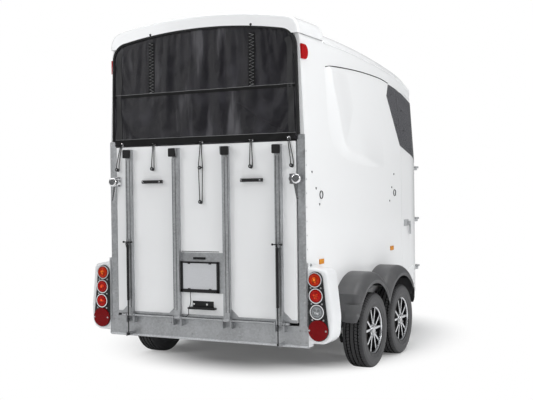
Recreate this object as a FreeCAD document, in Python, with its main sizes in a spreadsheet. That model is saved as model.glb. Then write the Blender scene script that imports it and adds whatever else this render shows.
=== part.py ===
"""A two-horse trailer with two axles: a moulded body on a galvanised frame, closed by a rear ramp.

Everything is in millimetres. +X is the right side, +Y the direction of travel, +Z up. Heights are
measured from a level just above the ground, datum_height, and lengths from the rear plane, which is
the back face of the body. The origin lies on the ground in the middle of the trailer, so each
finished piece is moved back by the size called rear_plane and up by datum_height.
"""
import FreeCAD, Part
import math
import os
import re
import Sketcher

V = FreeCAD.Vector

# The driving dimensions: name, value in millimetres or degrees, and what it measures.
SIZES = [
    ("rear_plane", 2200.0, "distance of the body's back face behind the origin"),
    ("datum_height", 20.0, "height above the ground of the level that all other heights are measured from"),
    ("body_half", 930.0, "centre line to the outside of a side wall"),
    ("wall", 38.0, "thickness of the moulded walls, nose and roof"),
    ("wall_bottom", 430.0, "height of the walls' lower edge"),
    ("lean_drop", 1050.0, "how far under the roof's height the side walls start to lean in"),
    ("lean_slope", 0.0432, "how far a side wall leans in for each unit of height above that"),
    ("nose_start", 2606.0, "length of the straight part of the walls"),
    ("nose_radius", 800.0, "radius of the nose corners seen from above"),
    ("nose_lean", 0.2, "how far the nose leans back for each unit of height"),
    ("nose_lean_drop", 1150.0, "how far under the roof's height the nose starts to lean back"),
    ("roof_height", 2900.0, "height of the roof on the centre line at the back"),
    ("crown_radius", 4200.0, "radius of the roof's crown across the body"),
    ("roof_flat", 500.0, "length of the level part of the roof"),
    ("roof_long_radius", 14700.0, "radius of the roof's slow fall"),
    ("roof_fall_end", 2300.0, "length where the slow fall ends"),
    ("roof_nose_radius", 1900.0, "radius of the roof over the nose"),
    ("shoulder_radius", 140.0, "rounding between walls and roof"),
    ("seam_drop", 175.0, "roof seam below the roof's centre line"),
    ("nose_split", 1940.0, "length where the side walls meet the nose shell"),
    ("hood_length", 470.0, "length of the hood over the rear doorway"),
    ("hood_rise", 63.0, "height of the hood's top above the roof's centre line"),
    ("hood_half", 897.0, "centre line to the outside of the hood"),
    ("hood_drop", 158.0, "distance of the hood's lower edge below the roof's centre line"),
    ("hood_corner", 125.0, "radius of the hood's corners"),
    ("hood_back", 28.0, "how far the hood stands behind the rear plane"),
    ("hood_edge", 22.0, "rounding of the hood's rear and front edges"),
    ("arch_half", 890.0, "centre line to the side of the curtain opening at its foot"),
    ("arch_lean", 0.0215, "how far the opening's sides lean in for each unit of height"),
    ("arch_corner", 150.0, "corner radius of the curtain opening"),
    ("arch_drop", 42.0, "distance of the curtain opening's top below the roof's centre line"),
    ("keder_width", 16.0, "width of the black edge strip round the curtain"),
    ("keder_depth", 28.0, "depth of that strip"),
    ("curtain_depth", 6.0, "thickness of the curtain"),
    ("curtain_bottom", 1912.0, "height of the curtain's lower edge"),
    ("window_gap", 4.0, "thickness of the window panes and the gap between them"),
    ("window_rim", 34.0, "how far a pane overlaps the wall round its hole"),
    ("window_inner", 330.0, "centre line to the inner edge of a nose window"),
    ("window_rear", 1962.0, "length of the window's rearmost corner"),
    ("window_shoulder", 482.0, "distance of that rearmost corner below the roof's height"),
    ("window_top_rear", 2020.0, "length of the window's upper rear corner"),
    ("window_low", 955.0, "distance of the window's lower corner below the roof's height"),
    ("window_fall", 0.264, "how far the window's lower edge falls for each unit of length"),
    ("window_bend", 460.0, "distance below the roof's height where the window's upper edge bends"),
    ("window_bend_along", 2538.0, "length of that bend"),
    ("window_high", 367.0, "distance of that upper corner below the roof's height"),
    ("window_corner", 2290.0, "length of the window's lower corner"),
    ("door_rear", 2308.0, "length of the groom door's rear edge"),
    ("door_front", 2926.0, "length of the groom door's front edge"),
    ("door_slant", 75.0, "how far the door's rear edge slants back over the window"),
    ("door_top", 400.0, "distance of the groom door's upper rear corner below the roof's height"),
    ("door_bend", 330.0, "length of the gently falling part of the groom door's upper edge"),
    ("door_fall", 35.0, "height that part falls by"),
    ("door_front_fall", 155.0, "height the whole upper edge of the groom door falls by"),
    ("door_bottom", 520.0, "height of the groom door's lower edge"),
    ("door_gap", 5.0, "gap round the groom door"),
    ("door_pin_out", 885.0, "centre line to the groom door's hinge pins"),
    ("door_pin_along", 2945.0, "length of those hinge pins"),
    ("door_hinge_low", 676.0, "height of the lowest door hinge"),
    ("door_hinge_middle", 1185.0, "height of the middle door hinge"),
    ("door_hinge_high", 1729.0, "height of the highest door hinge"),
    ("door_pin_radius", 5.0, "radius of a door hinge's pin"),
    ("door_barrel", 10.0, "outer radius of a door hinge's barrel"),
    ("door_leaf_tall", 21.0, "height of each half of a door hinge"),
    ("handle_rear", 2378.0, "length of the door handle's rear edge"),
    ("handle_plate", 48.0, "length of the plate behind the door handle"),
    ("handle_plate_tall", 64.0, "height of that plate itself"),
    ("handle_long", 130.0, "length of the door handle"),
    ("handle_low", 1050.0, "height of the door handle's lower edge"),
    ("handle_tall", 150.0, "height of the door handle itself"),
    ("handle_grip", 16.0, "thickness of the door handle's lever"),
    ("handle_proud", 32.0, "how far the door handle stands off the wall"),
    ("beam_low", 280.0, "height of the rear beam's lower edge"),
    ("beam_high", 450.0, "height of the rear beam's upper edge"),
    ("beam_half", 948.0, "half the length of the rear beam"),
    ("beam_depth", 80.0, "depth of the rear beam"),
    ("beam_back", 6.0, "how far the beam stands behind the rear plane"),
    ("post_back", 8.0, "how far the posts stand behind the rear plane"),
    ("sheet", 4.0, "thickness of folded steel sheet"),
    ("post_width", 64.0, "width of a rear post"),
    ("post_depth", 40.0, "how far a post's inner side reaches in front of the rear plane"),
    ("post_top", 1950.0, "height of the rear posts' upper ends"),
    ("deck_top", 455.0, "height of the floor"),
    ("deck_thick", 24.0, "thickness of the floor"),
    ("rail_half", 700.0, "centre line to the middle of a chassis rail"),
    ("rail_width", 60.0, "width of a chassis rail"),
    ("rail_height", 80.0, "height of a chassis rail"),
    ("rail_end", 2500.0, "length where the drawbar arms leave the rails"),
    ("cross_first", 120.0, "length of the rearmost cross member"),
    ("cross_gap", 200.0, "how far the middle cross member is in front of the rear axle's tube"),
    ("cross_wide", 40.0, "width of a cross member"),
    ("cross_tall", 50.0, "height of a cross member itself"),
    ("arm_overlap", 60.0, "how far the drawbar's arms reach under the rails"),
    ("arm_fork", 150.0, "how far behind the drawbar's tip its arms part"),
    ("tip_half", 45.0, "half the width of the drawbar's tip"),
    ("tip_setback", 520.0, "how far the drawbar's tip is behind the tow ball"),
    ("axle_rear", 932.0, "length of the rear axle"),
    ("axle_spacing", 722.0, "distance between the axles"),
    ("track_half", 1054.0, "centre line to the middle of a tyre"),
    ("tyre_radius", 322.0, "outer radius of a tyre"),
    ("tyre_width", 192.0, "width of a tyre"),
    ("tyre_flank", 82.0, "how far below the tread the tyre reaches its full width"),
    ("tyre_shoulder", 48.0, "how far below the tread the tyre's shoulder begins"),
    ("tyre_tread", 16.0, "thickness of the tyre under its tread"),
    ("rim_radius", 212.0, "outer radius of a rim"),
    ("rim_width", 150.0, "width of a rim"),
    ("rim_seat", 195.0, "radius of the seat that the tyre's bead sits on"),
    ("rim_well", 188.0, "inner radius of the rim's barrel"),
    ("seat_gap", 0.2, "gap between the tyre's bead and its seat"),
    ("rim_lip", 14.0, "how far the rim's outer lip stands beyond the bead"),
    ("hub_radius", 72.0, "radius of the rim's centre"),
    ("hub_face", 72.0, "distance of the rim's centre face from the tyre's middle"),
    ("hub_back", 44.0, "distance of the face that the rim bolts to"),
    ("spoke_thick", 26.0, "thickness of a spoke along the axle"),
    ("spoke_root", 9.0, "offset of a spoke's middle at the hub"),
    ("spoke_reach", 52.0, "offset of a spoke's middle at the barrel"),
    ("spoke_half", 10.0, "half the width of a spoke"),
    ("spoke_inner", 55.0, "distance from the axle where a spoke begins"),
    ("spoke_outer", 186.0, "distance from the axle where a spoke ends"),
    ("drum_radius", 126.0, "outer radius of a brake drum"),
    ("drum_depth", 80.0, "distance of a drum's open side from the tyre's middle"),
    ("drum_wall", 8.0, "thickness of a brake drum"),
    ("stub_radius", 20.0, "radius of a stub axle"),
    ("arm_length", 160.0, "length of a suspension arm"),
    ("arm_out", 780.0, "centre line to the inner side of a suspension arm"),
    ("arm_thick", 32.0, "thickness of a suspension arm"),
    ("arm_half", 26.0, "half the height of a suspension arm"),
    ("tube_wall", 6.0, "wall of an axle tube"),
    ("shield_out", 950.0, "centre line to a brake's backing plate"),
    ("shield_thick", 6.0, "thickness of a brake's backing plate"),
    ("axle_radius", 38.0, "radius of an axle tube"),
    ("guard_over", 5.0, "how far a mudguard's outer face stands outside its tyres"),
    ("guard_crest", 180.0, "distance from a tyre's tread to the mudguard's crest"),
    ("guard_lip", 82.0, "distance from a tyre's tread to the edge of the mudguard's arch"),
    ("guard_skin", 5.0, "thickness of a mudguard"),
    ("guard_round", 78.0, "rounding of a mudguard's shoulder"),
    ("guard_low", 415.0, "height of a mudguard's lower ends"),
    ("guard_end", 365.0, "distance from an axle to the nearest end of a mudguard"),
    ("guard_shoulder", 338.0, "height of a mudguard's straight ends above the axles"),
    ("guard_corner", 30.0, "rounding at the foot of a mudguard's corners"),
    ("pod_inner", 948.0, "centre line to the inner edge of a lamp pod"),
    ("pod_width", 204.0, "width of a lamp pod"),
    ("pod_low", 318.0, "height of a lamp pod's lower edge"),
    ("pod_high", 918.0, "height of a lamp pod's upper inner corner"),
    ("pod_waist", 202.0, "height above its lower edge where a lamp pod is widest"),
    ("pod_foot", 12.0, "distance of a lamp pod's lower outer corner inside its widest place"),
    ("pod_lean", 40.0, "distance of its upper outer corner inside its widest place"),
    ("pod_fall", 28.0, "height its upper edge falls by towards the outside"),
    ("pod_foot_round", 96.0, "radius of a lamp pod's lower outer corner"),
    ("pod_waist_round", 400.0, "radius of its outline at the widest place"),
    ("pod_top_round", 50.0, "radius of its upper outer corner"),
    ("pod_back", 14.0, "how far a lamp pod stands behind the rear plane"),
    ("pod_wall", 5.0, "thickness of a lamp pod"),
    ("pod_round", 24.0, "rounding of a lamp pod's edges"),
    ("pod_depth", 190.0, "length of a lamp pod"),
    ("flange_deep", 80.0, "length of the upright flange that carries a lamp pod"),
    ("flange_low", 290.0, "height of that flange's lower end"),
    ("flange_high", 948.0, "height of that flange's upper end"),
    ("carrier_thick", 8.0, "thickness of the black panel that carries the lamps"),
    ("carrier_edge", 4.0, "width of that panel's edge round the lamps"),
    ("lamp_radius", 59.0, "radius of a small round lamp"),
    ("reflector_radius", 81.0, "radius of the large round reflector"),
    ("lamp_inset", 63.0, "distance of the topmost lamp from its pod's inner edge"),
    ("lamp_drop", 98.0, "distance of the topmost lamp below its pod's upper inner corner"),
    ("lamp_step", 8.0, "how much further out each lamp sits than the one above"),
    ("lamp_share", 0.317, "distance between two small lamps, as a share of that from the topmost to the reflector"),
    ("reflector_inset", 85.0, "distance of the large reflector from its pod's inner edge"),
    ("reflector_rise", 109.0, "height of the large reflector above its pod's lower edge"),
    ("lamp_rim", 7.0, "width of a lamp's ring"),
    ("ring_proud", 12.0, "how far a lamp's ring stands off its carrier"),
    ("lens_proud", 16.0, "how far a lens stands off its carrier"),
    ("marker_along", 62.0, "length of a marker lamp's middle"),
    ("marker_drop", 300.0, "distance of a marker lamp below the roof's height"),
    ("marker_radius", 58.0, "radius of a marker lamp"),
    ("marker_out", 912.0, "centre line to a marker lamp's outer face"),
    ("side_lamp_rear", 285.0, "length of the rear side reflector"),
    ("side_lamp_front", 1996.0, "length of the front side reflector"),
    ("side_lamp_height", 937.0, "height of the side reflectors"),
    ("side_lamp_long", 84.0, "length of a side reflector itself"),
    ("side_lamp_tall", 40.0, "height of a side reflector itself"),
    ("side_lamp_proud", 8.0, "how far a side reflector stands off the wall"),
    ("ramp_half", 854.0, "half the width of the ramp"),
    ("ramp_low", 474.0, "height of the ramp's lower edge"),
    ("ramp_high", 1900.0, "height of the ramp's upper edge"),
    ("ramp_thick", 32.0, "thickness of the ramp panel"),
    ("ramp_out", 20.0, "how far the ramp's outer face is behind the rear plane"),
    ("rib_pitch", 475.0, "distance between the ramp's ribs"),
    ("rib_width", 56.0, "width of a rib"),
    ("rib_depth", 34.0, "depth of a rib"),
    ("rib_top", 1873.0, "height of the ribs' upper ends"),
    ("hinge_along", -46.0, "length of the ramp's hinge rod, behind the rear plane"),
    ("hinge_height", 466.0, "height of the hinge rod"),
    ("hinge_rod", 8.0, "radius of the hinge rod"),
    ("knuckle_radius", 13.0, "outer radius of a hinge knuckle"),
    ("hinge_half", 800.0, "half the length of the hinge rod"),
    ("lug_radius", 14.0, "radius of the lugs that hold the hinge rod"),
    ("lug_gap", 8.0, "gap between a lug and its rib"),
    ("lug_thick", 8.0, "thickness of a lug"),
    ("lug_depth", 50.0, "height of a lug's foot on the beam"),
    ("gusset_width", 70.0, "width of the gussets at the ribs' lower ends"),
    ("gusset_height", 86.0, "height of those gussets"),
    ("foot_reach", 30.0, "distance from a rib's back to the back of the bent foot at its upper end"),
    ("foot_drop", 62.0, "height of that foot's hanging part"),
    ("foot_curl", 10.0, "distance the hanging part curls back towards the rib"),
    ("foot_fold", 5.0, "thickness of that foot"),
    ("running_gap", 0.1, "radial clearance of a pin in its bore"),
    ("strut_top", 1080.0, "height of a gas strut's upper eye"),
    ("strut_low", 304.0, "height of a gas strut's lower eye"),
    ("strut_out", 712.0, "centre line to a gas strut"),
    ("strut_behind", 76.0, "how far a gas strut's upper eye is behind the rear plane"),
    ("strut_foot_behind", 78.0, "how far its lower eye is behind the rear plane"),
    ("strut_radius", 11.0, "radius of a gas strut's cylinder"),
    ("strut_body", 470.0, "length of a gas strut's cylinder"),
    ("strut_start", 16.0, "distance from the upper eye to the cylinder's end"),
    ("strut_rod", 5.0, "radius of a gas strut's rod"),
    ("strut_overlap", 290.0, "distance from the upper eye to the rod's end inside the cylinder"),
    ("strut_eye", 11.0, "outer radius of a strut's eyes"),
    ("strut_eye_half", 6.0, "half the width of a strut's eyes"),
    ("strut_pin", 5.0, "radius of the pins through those eyes"),
    ("cheek_gap", 12.5, "distance of a strut's bracket from the strut's middle"),
    ("cheek_thick", 4.5, "thickness of that bracket"),
    ("cheek_half", 15.0, "half the height of that bracket"),
    ("handle_out", 475.0, "centre line to a grab handle"),
    ("handle_height", 1600.0, "height of the grab handles"),
    ("handle_width", 186.0, "width of a grab handle"),
    ("handle_deep", 44.0, "how far a grab handle stands off the ramp"),
    ("handle_half", 14.0, "half the height of a grab handle's grip"),
    ("handle_foot", 26.0, "width of a grab handle's feet"),
    ("handle_round", 8.0, "rounding of a grab handle"),
    ("plate_height", 807.0, "height of the number plate's middle"),
    ("plate_width", 366.0, "width of the number plate's frame"),
    ("plate_tall", 255.0, "height of that frame itself"),
    ("plate_edge", 8.0, "width of that frame's edge"),
    ("plate_deep", 10.0, "depth of that frame"),
    ("plate_thick", 2.0, "thickness of the number plate"),
    ("backing_low", 678.0, "height of the lower edge of the steel panel behind the plate"),
    ("backing_high", 1010.0, "height of that panel's upper edge"),
    ("backing_thick", 2.0, "thickness of that panel"),
    ("shelf_low", 545.0, "height of the plate lamp's lower edge"),
    ("shelf_tall", 15.0, "height of the plate lamp's shelf itself"),
    ("shelf_half", 125.0, "half the width of that shelf"),
    ("shelf_deep", 46.0, "how far that shelf stands off the ramp"),
    ("shelf_back_half", 100.0, "half the width of the plate lamp's back"),
    ("shelf_back_high", 610.0, "height of the top of that back"),
    ("shelf_back_thick", 3.0, "thickness of that back"),
    ("knob_radius", 15.0, "radius of a knob's head"),
    ("knob_neck", 7.0, "radius of a knob's neck"),
    ("knob_long", 26.0, "length of a knob's neck"),
    ("knob_head", 9.0, "thickness of a knob's head"),
    ("knob_height", 1710.0, "height of the row of knobs"),
    ("knob_single", 1429.0, "height of the knob below that row"),
    ("knob_inner", 470.0, "centre line to the inner knobs"),
    ("knob_outer", 832.0, "centre line to the outer knobs"),
    ("latch_height", 1605.0, "height of the ramp latches"),
    ("latch_half", 40.0, "half the height of a ramp latch"),
    ("latch_wide", 46.0, "width of a latch's base on the ramp"),
    ("latch_base", 14.0, "thickness of that base"),
    ("latch_out", 874.0, "centre line to a latch's cam"),
    ("latch_cam", 39.0, "radius of a latch's cam"),
    ("latch_cam_thick", 32.0, "thickness of that cam"),
    ("latch_round", 13.0, "rounding of that cam"),
    ("latch_nose", 25.0, "radius of the nose beside the cam"),
    ("latch_nose_in", 36.0, "distance of that nose from the cam"),
    ("latch_drop", 159.0, "how far a latch's handle hangs below its cam"),
    ("latch_handle", 16.0, "width of that handle"),
    ("latch_handle_thick", 8.0, "thickness of that handle"),
    ("ball_ahead", 1044.0, "how far the tow ball's centre is ahead of the nose"),
    ("ball_height", 430.0, "height of the tow ball's centre"),
    ("ball_radius", 25.1, "radius of the coupling's socket"),
    ("housing_half", 48.0, "half the width of the overrun device's housing"),
    ("housing_long", 260.0, "how far that housing reaches behind the drawbar's tip"),
    ("shaft_radius", 25.0, "radius of the overrun device's shaft"),
    ("head_radius", 42.0, "outer radius of the coupling head over the ball"),
    ("lever_tall", 330.0, "height of the handbrake lever above the shaft"),
    ("lever_grip", 16.0, "radius of the handbrake lever's grip"),
    ("jockey_back", 750.0, "how far the jockey wheel's post is behind the tow ball"),
    ("jockey_out", 205.0, "centre line to the jockey wheel's post"),
    ("jockey_radius", 110.0, "radius of the jockey wheel"),
    ("jockey_trail", 62.0, "how far the jockey wheel trails its post"),
    ("jockey_low", 262.0, "height of the lower end of the jockey wheel's tube"),
    ("jockey_high", 760.0, "height of that tube's upper end"),
    ("jockey_tube", 24.0, "outer radius of that tube"),
    ("jockey_stem", 18.0, "radius of the jockey wheel's stem"),
    ("jockey_pin", 6.0, "radius of the jockey wheel's axle"),
    ("jockey_half", 25.0, "half the width of the jockey wheel"),
    ("fork_half", 36.0, "half the width of the jockey wheel's fork"),
    ("divider_rear", 380.0, "length of the partition's rear post"),
    ("divider_front", 2150.0, "length of the partition's front post"),
    ("divider_radius", 22.0, "radius of the partition's posts"),
    ("divider_tall", 1750.0, "height of the partition's posts above the floor"),
    ("bar_height", 1530.0, "height of the breast and rear bars"),
    ("bar_radius", 20.0, "radius of the bars before and behind each horse"),
    ("bar_drop_rear", 400.0, "how far the rear bars are below the bar height"),
    ("bar_drop_front", 300.0, "how far the front bars are below the bar height"),
    ("board_half", 12.0, "half the thickness of the partition's board"),
    ("board_low", 900.0, "height of that board's lower edge"),
    ("board_high", 1980.0, "height of that board's upper edge"),
]

doc = FreeCAD.newDocument("horse_trailer")
sheet = doc.addObject("Spreadsheet::Sheet", "sizes")
for row, (alias, value, meaning) in enumerate(SIZES, 1):
    sheet.set(f"A{row}", meaning)
    sheet.set(f"B{row}", str(value))
    sheet.setAlias(f"B{row}", alias)
doc.recompute()
ALIASES = {alias for alias, value, meaning in SIZES}
finished = []
places = {}

# Places that several pieces share, as formulas on the sheet.
WHEEL = "(tyre_radius - datum_height)"
RAIL_TOP = "(deck_top - deck_thick)"
BEAM_FRONT = "(beam_depth - beam_back)"
RAMP_FACE = "(-ramp_out)"
RIB_FACE = "(-ramp_out - rib_depth)"
FOOT_FACE = "(-ramp_out - rib_depth - foot_reach)"
JOCKEY = "(jockey_radius - datum_height)"


def mm(alias):
    """The value of a size on the sheet."""
    return float(sheet.get(alias))


def formula(text):
    """An expression in which each size is looked up on the sheet."""
    return re.sub(r"[a-z][a-z_]*", lambda word: "sizes." + word[0] if word[0] in ALIASES else word[0], text)


def place(piece, x="0", y="0", z="0"):
    """Binds where a piece stands, measured from the rear plane and the height datum."""
    places[piece.Name] = (y, z)
    for axis, text in zip("xyz", (x, y, z)):
        piece.setExpression("Placement.Base." + axis, formula(text))
    return piece


def keep(piece, label):
    """Counts a piece as a finished sub-part and moves it to the trailer's own origin."""
    piece.Label = label
    along, height = places.get(piece.Name, ("0", "0"))
    piece.setExpression("Placement.Base.y", formula(f"{along} - rear_plane"))
    piece.setExpression("Placement.Base.z", formula(f"{height} + datum_height"))
    finished.append(piece)
    return piece


def form(name, shape):
    """A piece whose shape is worked out from the sizes in code."""
    piece = doc.addObject("Part::Feature", name)
    piece.Shape = shape if shape.Placement.isIdentity() else Part.makeCompound([shape])
    return piece


def box(name, x, y, z):
    """A block bound to the sheet by where it begins and ends along X, Y and Z."""
    piece = doc.addObject("Part::Box", name)
    for prop, (near, far) in zip(("Length", "Width", "Height"), (x, y, z)):
        piece.setExpression(prop, formula(f"({far}) - ({near})"))
    return place(piece, x[0], y[0], z[0])


TURNS = {"x": FreeCAD.Rotation(V(0, 1, 0), 90), "y": FreeCAD.Rotation(V(1, 0, 0), -90), "z": FreeCAD.Rotation()}


def rod(name, axis, x, y, z, radius):
    """A cylinder bound to the sheet: along its axis it is given where it begins and ends."""
    start = {"x": x, "y": y, "z": z}
    near, far = start[axis]
    start[axis] = near
    piece = doc.addObject("Part::Cylinder", name)
    piece.setExpression("Radius", formula(radius))
    piece.setExpression("Height", formula(f"({far}) - ({near})"))
    piece.Placement.Rotation = TURNS[axis]
    return place(piece, **start)


def fuse(name, *pieces):
    """The union of several pieces."""
    union = doc.addObject("Part::MultiFuse", name)
    union.Shapes = list(pieces)
    union.Refine = True
    return union


def group(name, *pieces):
    """Several pieces side by side as one sub-part."""
    compound = doc.addObject("Part::Compound", name)
    compound.Links = list(pieces)
    return compound


def cut(name, base, *tools):
    """One piece less others."""
    rest = doc.addObject("Part::Cut", name)
    rest.Base = base
    rest.Tool = tools[0] if len(tools) == 1 else group(name + "_tools", *tools)
    return rest


def common(name, base, tool):
    """What two pieces share."""
    shared = doc.addObject("Part::Common", name)
    shared.Base = base
    shared.Tool = tool
    return shared


def mirrored(piece):
    """A piece on the other side of the trailer."""
    image = doc.addObject("Part::Mirroring", piece.Name + "_image")
    image.Source = piece
    image.Normal = V(1, 0, 0)
    return image


def pair(name, piece):
    """A piece on the right side together with its image on the left."""
    return group(name, piece, mirrored(piece))


def rounded(name, piece, radii):
    """A piece with fillets. The function radii gives each edge its start and end radius, or None."""
    doc.recompute()
    chosen = [(number, radii(edge)) for number, edge in enumerate(piece.Shape.Edges, 1)]
    fillet = doc.addObject("Part::Fillet", name)
    fillet.Base = piece
    fillet.Edges = [(number, *pair_of) for number, pair_of in chosen if pair_of]
    return fillet


def origin_plane(body, role):
    """One of a body's own origin planes or axes."""
    return next(item for item in body.Origin.OriginFeatures if item.Role == role)


def outline(body, role, corners, name="outline", offset=None):
    """A closed sketch of straight lines whose corners are bound to formulas on the sheet."""
    sketch = body.newObject("Sketcher::SketchObject", name)
    sketch.AttachmentSupport = [(origin_plane(body, role), "")]
    sketch.MapMode = "FlatFace"
    if offset:
        sketch.setExpression("AttachmentOffset.Base.z", formula(offset))
    count = len(corners)
    start = [V(math.cos(math.tau * i / count), math.sin(math.tau * i / count)) * 100 for i in range(count)]
    for i in range(count):
        sketch.addGeometry(Part.LineSegment(start[i], start[(i + 1) % count]), False)
    for i in range(count):
        sketch.addConstraint(Sketcher.Constraint("Coincident", i, 2, (i + 1) % count, 1))
    for i, corner in enumerate(corners):
        for kind, value, text in zip(("DistanceX", "DistanceY"), (start[i].x, start[i].y), corner):
            number = sketch.addConstraint(Sketcher.Constraint(kind, -1, 1, i, 1, value))
            sketch.setExpression(f"Constraints[{number}]", formula(text))
    return sketch


def pad(body, sketch, length, name="pad"):
    """A pad of one sketch."""
    feature = body.newObject("PartDesign::Pad", name)
    feature.Profile = sketch
    feature.setExpression("Length", formula(length))
    return feature


def padded(name, role, corners, length, middle=False):
    """A body made by padding one outline."""
    body = doc.addObject("PartDesign::Body", name)
    pad(body, outline(body, role, corners), length).Midplane = middle
    return body


def turned(name, corners, body=None):
    """A body made by turning one outline in the XY plane about its X axis."""
    body = body or doc.addObject("PartDesign::Body", name)
    revolution = body.newObject("PartDesign::Revolution", name + "_turn")
    revolution.Profile = outline(body, "XY_Plane", corners, name + "_section")
    revolution.ReferenceAxis = (origin_plane(body, "X_Axis"), [""])
    revolution.Angle = 360
    return body


def below_roof(alias):
    """A height that the sheet gives as a distance below the roof's height."""
    return mm("roof_height") - mm(alias)


def chain(points):
    """A closed face from a list of vectors."""
    return Part.Face(Part.makePolygon(points + [points[0]]))


def block(x0, x1, y0, y1, z0, z1):
    """A plain block between two corners."""
    return Part.makeBox(x1 - x0, y1 - y0, z1 - z0, V(x0, y0, z0))


# The moulded body: a plan outline with a rounded nose, a nose that leans back, side walls that lean
# in, and a crowned roof that falls towards the nose. Each wall's inside is the same form, smaller.
# These shells are curved in two directions at once, so they are made in code from the sizes.

TALL = 4000.0
CROWN_SWEEP = 70.0
HOOD_SKIN = 6.0


def plan_face(inset, height):
    """The body seen from above, taken in by a thickness."""
    half = mm("body_half") - inset
    start = mm("nose_start")
    radius = mm("nose_radius") - inset
    centre = half - radius
    bend = radius * math.sqrt(0.5)
    front = start + radius
    edges = [
        Part.LineSegment(V(-half, 0, height), V(half, 0, height)),
        Part.LineSegment(V(half, 0, height), V(half, start, height)),
        Part.Arc(V(half, start, height), V(centre + bend, start + bend, height), V(centre, front, height)),
        Part.LineSegment(V(centre, front, height), V(-centre, front, height)),
        Part.Arc(V(-centre, front, height), V(-centre - bend, start + bend, height), V(-half, start, height)),
        Part.LineSegment(V(-half, start, height), V(-half, 0, height)),
    ]
    return Part.Face(Part.Wire([edge.toShape() for edge in edges]))


def roof_profile(drop):
    """The region under the roof's centre line in side view, lowered by a distance."""
    top = mm("roof_height") - drop
    flat = mm("roof_flat")
    long_radius = mm("roof_long_radius")
    nose_radius = mm("roof_nose_radius")
    fall = math.asin((mm("roof_fall_end") - flat) / long_radius)
    steep = math.radians(60)
    long_centre = V(0, flat, top - long_radius)
    nose_centre = long_centre + V(0, math.sin(fall), math.cos(fall)) * (long_radius - nose_radius)

    def on(centre, radius, angle):
        return centre + V(0, math.sin(angle), math.cos(angle)) * radius

    tip = on(nose_centre, nose_radius, steep)
    before = V(0, -200, top)
    edges = [
        Part.LineSegment(before, V(0, flat, top)),
        Part.Arc(V(0, flat, top), on(long_centre, long_radius, fall / 2), on(long_centre, long_radius, fall)),
        Part.Arc(on(long_centre, long_radius, fall), on(nose_centre, nose_radius, (fall + steep) / 2), tip),
        Part.LineSegment(tip, V(0, tip.y, 0)),
        Part.LineSegment(V(0, tip.y, 0), V(0, before.y, 0)),
        Part.LineSegment(V(0, before.y, 0), before),
    ]
    return Part.Face(Part.Wire([edge.toShape() for edge in edges]))


def body_solid(inset):
    """The whole body as one solid, taken in by a thickness on every side but the back."""
    half = mm("body_half") - inset
    low = mm("wall_bottom")
    slope = mm("nose_lean")
    upright = plan_face(inset, low).extrude(V(0, 0, TALL))
    sheared = plan_face(inset, low)
    sheared.translate(V(0, (below_roof("nose_lean_drop") - low) * slope, 0))
    leaning = sheared.extrude(V(0, -TALL * slope, TALL)).fuse(block(-half, half, 0, mm("nose_start") / 2, low, TALL))
    axis = V(0, 0, mm("roof_height") - inset - mm("crown_radius"))
    profile = roof_profile(inset)
    profile.rotate(axis, V(0, 1, 0), -CROWN_SWEEP / 2)
    dome = profile.revolve(axis, V(0, 1, 0), CROWN_SWEEP)
    waist = below_roof("lean_drop")
    lean = mm("lean_slope") * (TALL - waist)
    section = chain([V(-half, -10, 0), V(half, -10, 0), V(half, -10, waist), V(half - lean, -10, TALL),
                     V(lean - half, -10, TALL), V(-half, -10, waist)])
    solid = upright.common(leaning).common(dome).common(section.extrude(V(0, TALL, 0))).Solids[0]
    return solid.makeFillet(mm("shoulder_radius") - inset, shoulders(solid))


def middle_normal(face):
    """Which way a face looks at its middle."""
    u_low, u_high, v_low, v_high = face.ParameterRange
    return face.normalAt((u_low + u_high) / 2, (v_low + v_high) / 2)


def shoulders(solid):
    """The edges where the roof meets the side walls and the nose, but not those round the open back."""
    facing = [(face, middle_normal(face)) for face in solid.Faces]
    roof = [edge for face, normal in facing if normal.z > 0.4 for edge in face.Edges]
    walls = [edge for face, normal in facing if abs(normal.z) < 0.4 and normal.y > -0.9 for edge in face.Edges]
    return [edge for edge in roof if any(edge.isSame(other) for other in walls)]


def under(drop):
    """Everything lower than the roof's centre line less a drop, across the whole width."""
    return roof_profile(drop).extrude(V(TALL / 2, 0, 0)).fuse(roof_profile(drop).extrude(V(-TALL / 2, 0, 0)))


outside = body_solid(0.0)
inside = body_solid(mm("wall"))
shell = outside.cut(inside)
skin = body_solid(-mm("window_gap")).cut(outside)
body_form = form("body_form", outside)

# The windows and the groom door are cut along X from outlines drawn in side view.


def window_outline(reach):
    """A nose window in side view, drawn past the nose's front."""
    low, high = below_roof("window_low"), below_roof("window_high")
    rear = V(0, mm("window_rear"), below_roof("window_shoulder"))
    corner = V(0, mm("window_corner"), low)
    ahead = mm("nose_start") + mm("nose_radius") + reach
    top_rear = V(0, mm("window_top_rear"), high)
    bend = V(0, mm("window_bend_along"), below_roof("window_bend"))
    slope = 2 * (high - bend.z) / (bend.y - top_rear.y)
    top_front = V(0, ahead, bend.z - slope * (ahead - bend.y) * 1.4)
    low_front = V(0, ahead, low - mm("window_fall") * (ahead - corner.y))
    edges = [
        Part.LineSegment(rear, corner),
        Part.LineSegment(corner, low_front),
        Part.LineSegment(low_front, top_front),
        Part.Arc(top_front, bend, top_rear),
        Part.LineSegment(top_rear, rear),
    ]
    return Part.Face(Part.Wire([edge.toShape() for edge in edges]))


def through_right(face, start):
    """A side-view outline pushed out through the right side of the body."""
    moved = face.copy()
    moved.translate(V(start, 0, 0))
    return moved.extrude(V(TALL / 2, 0, 0))


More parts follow.
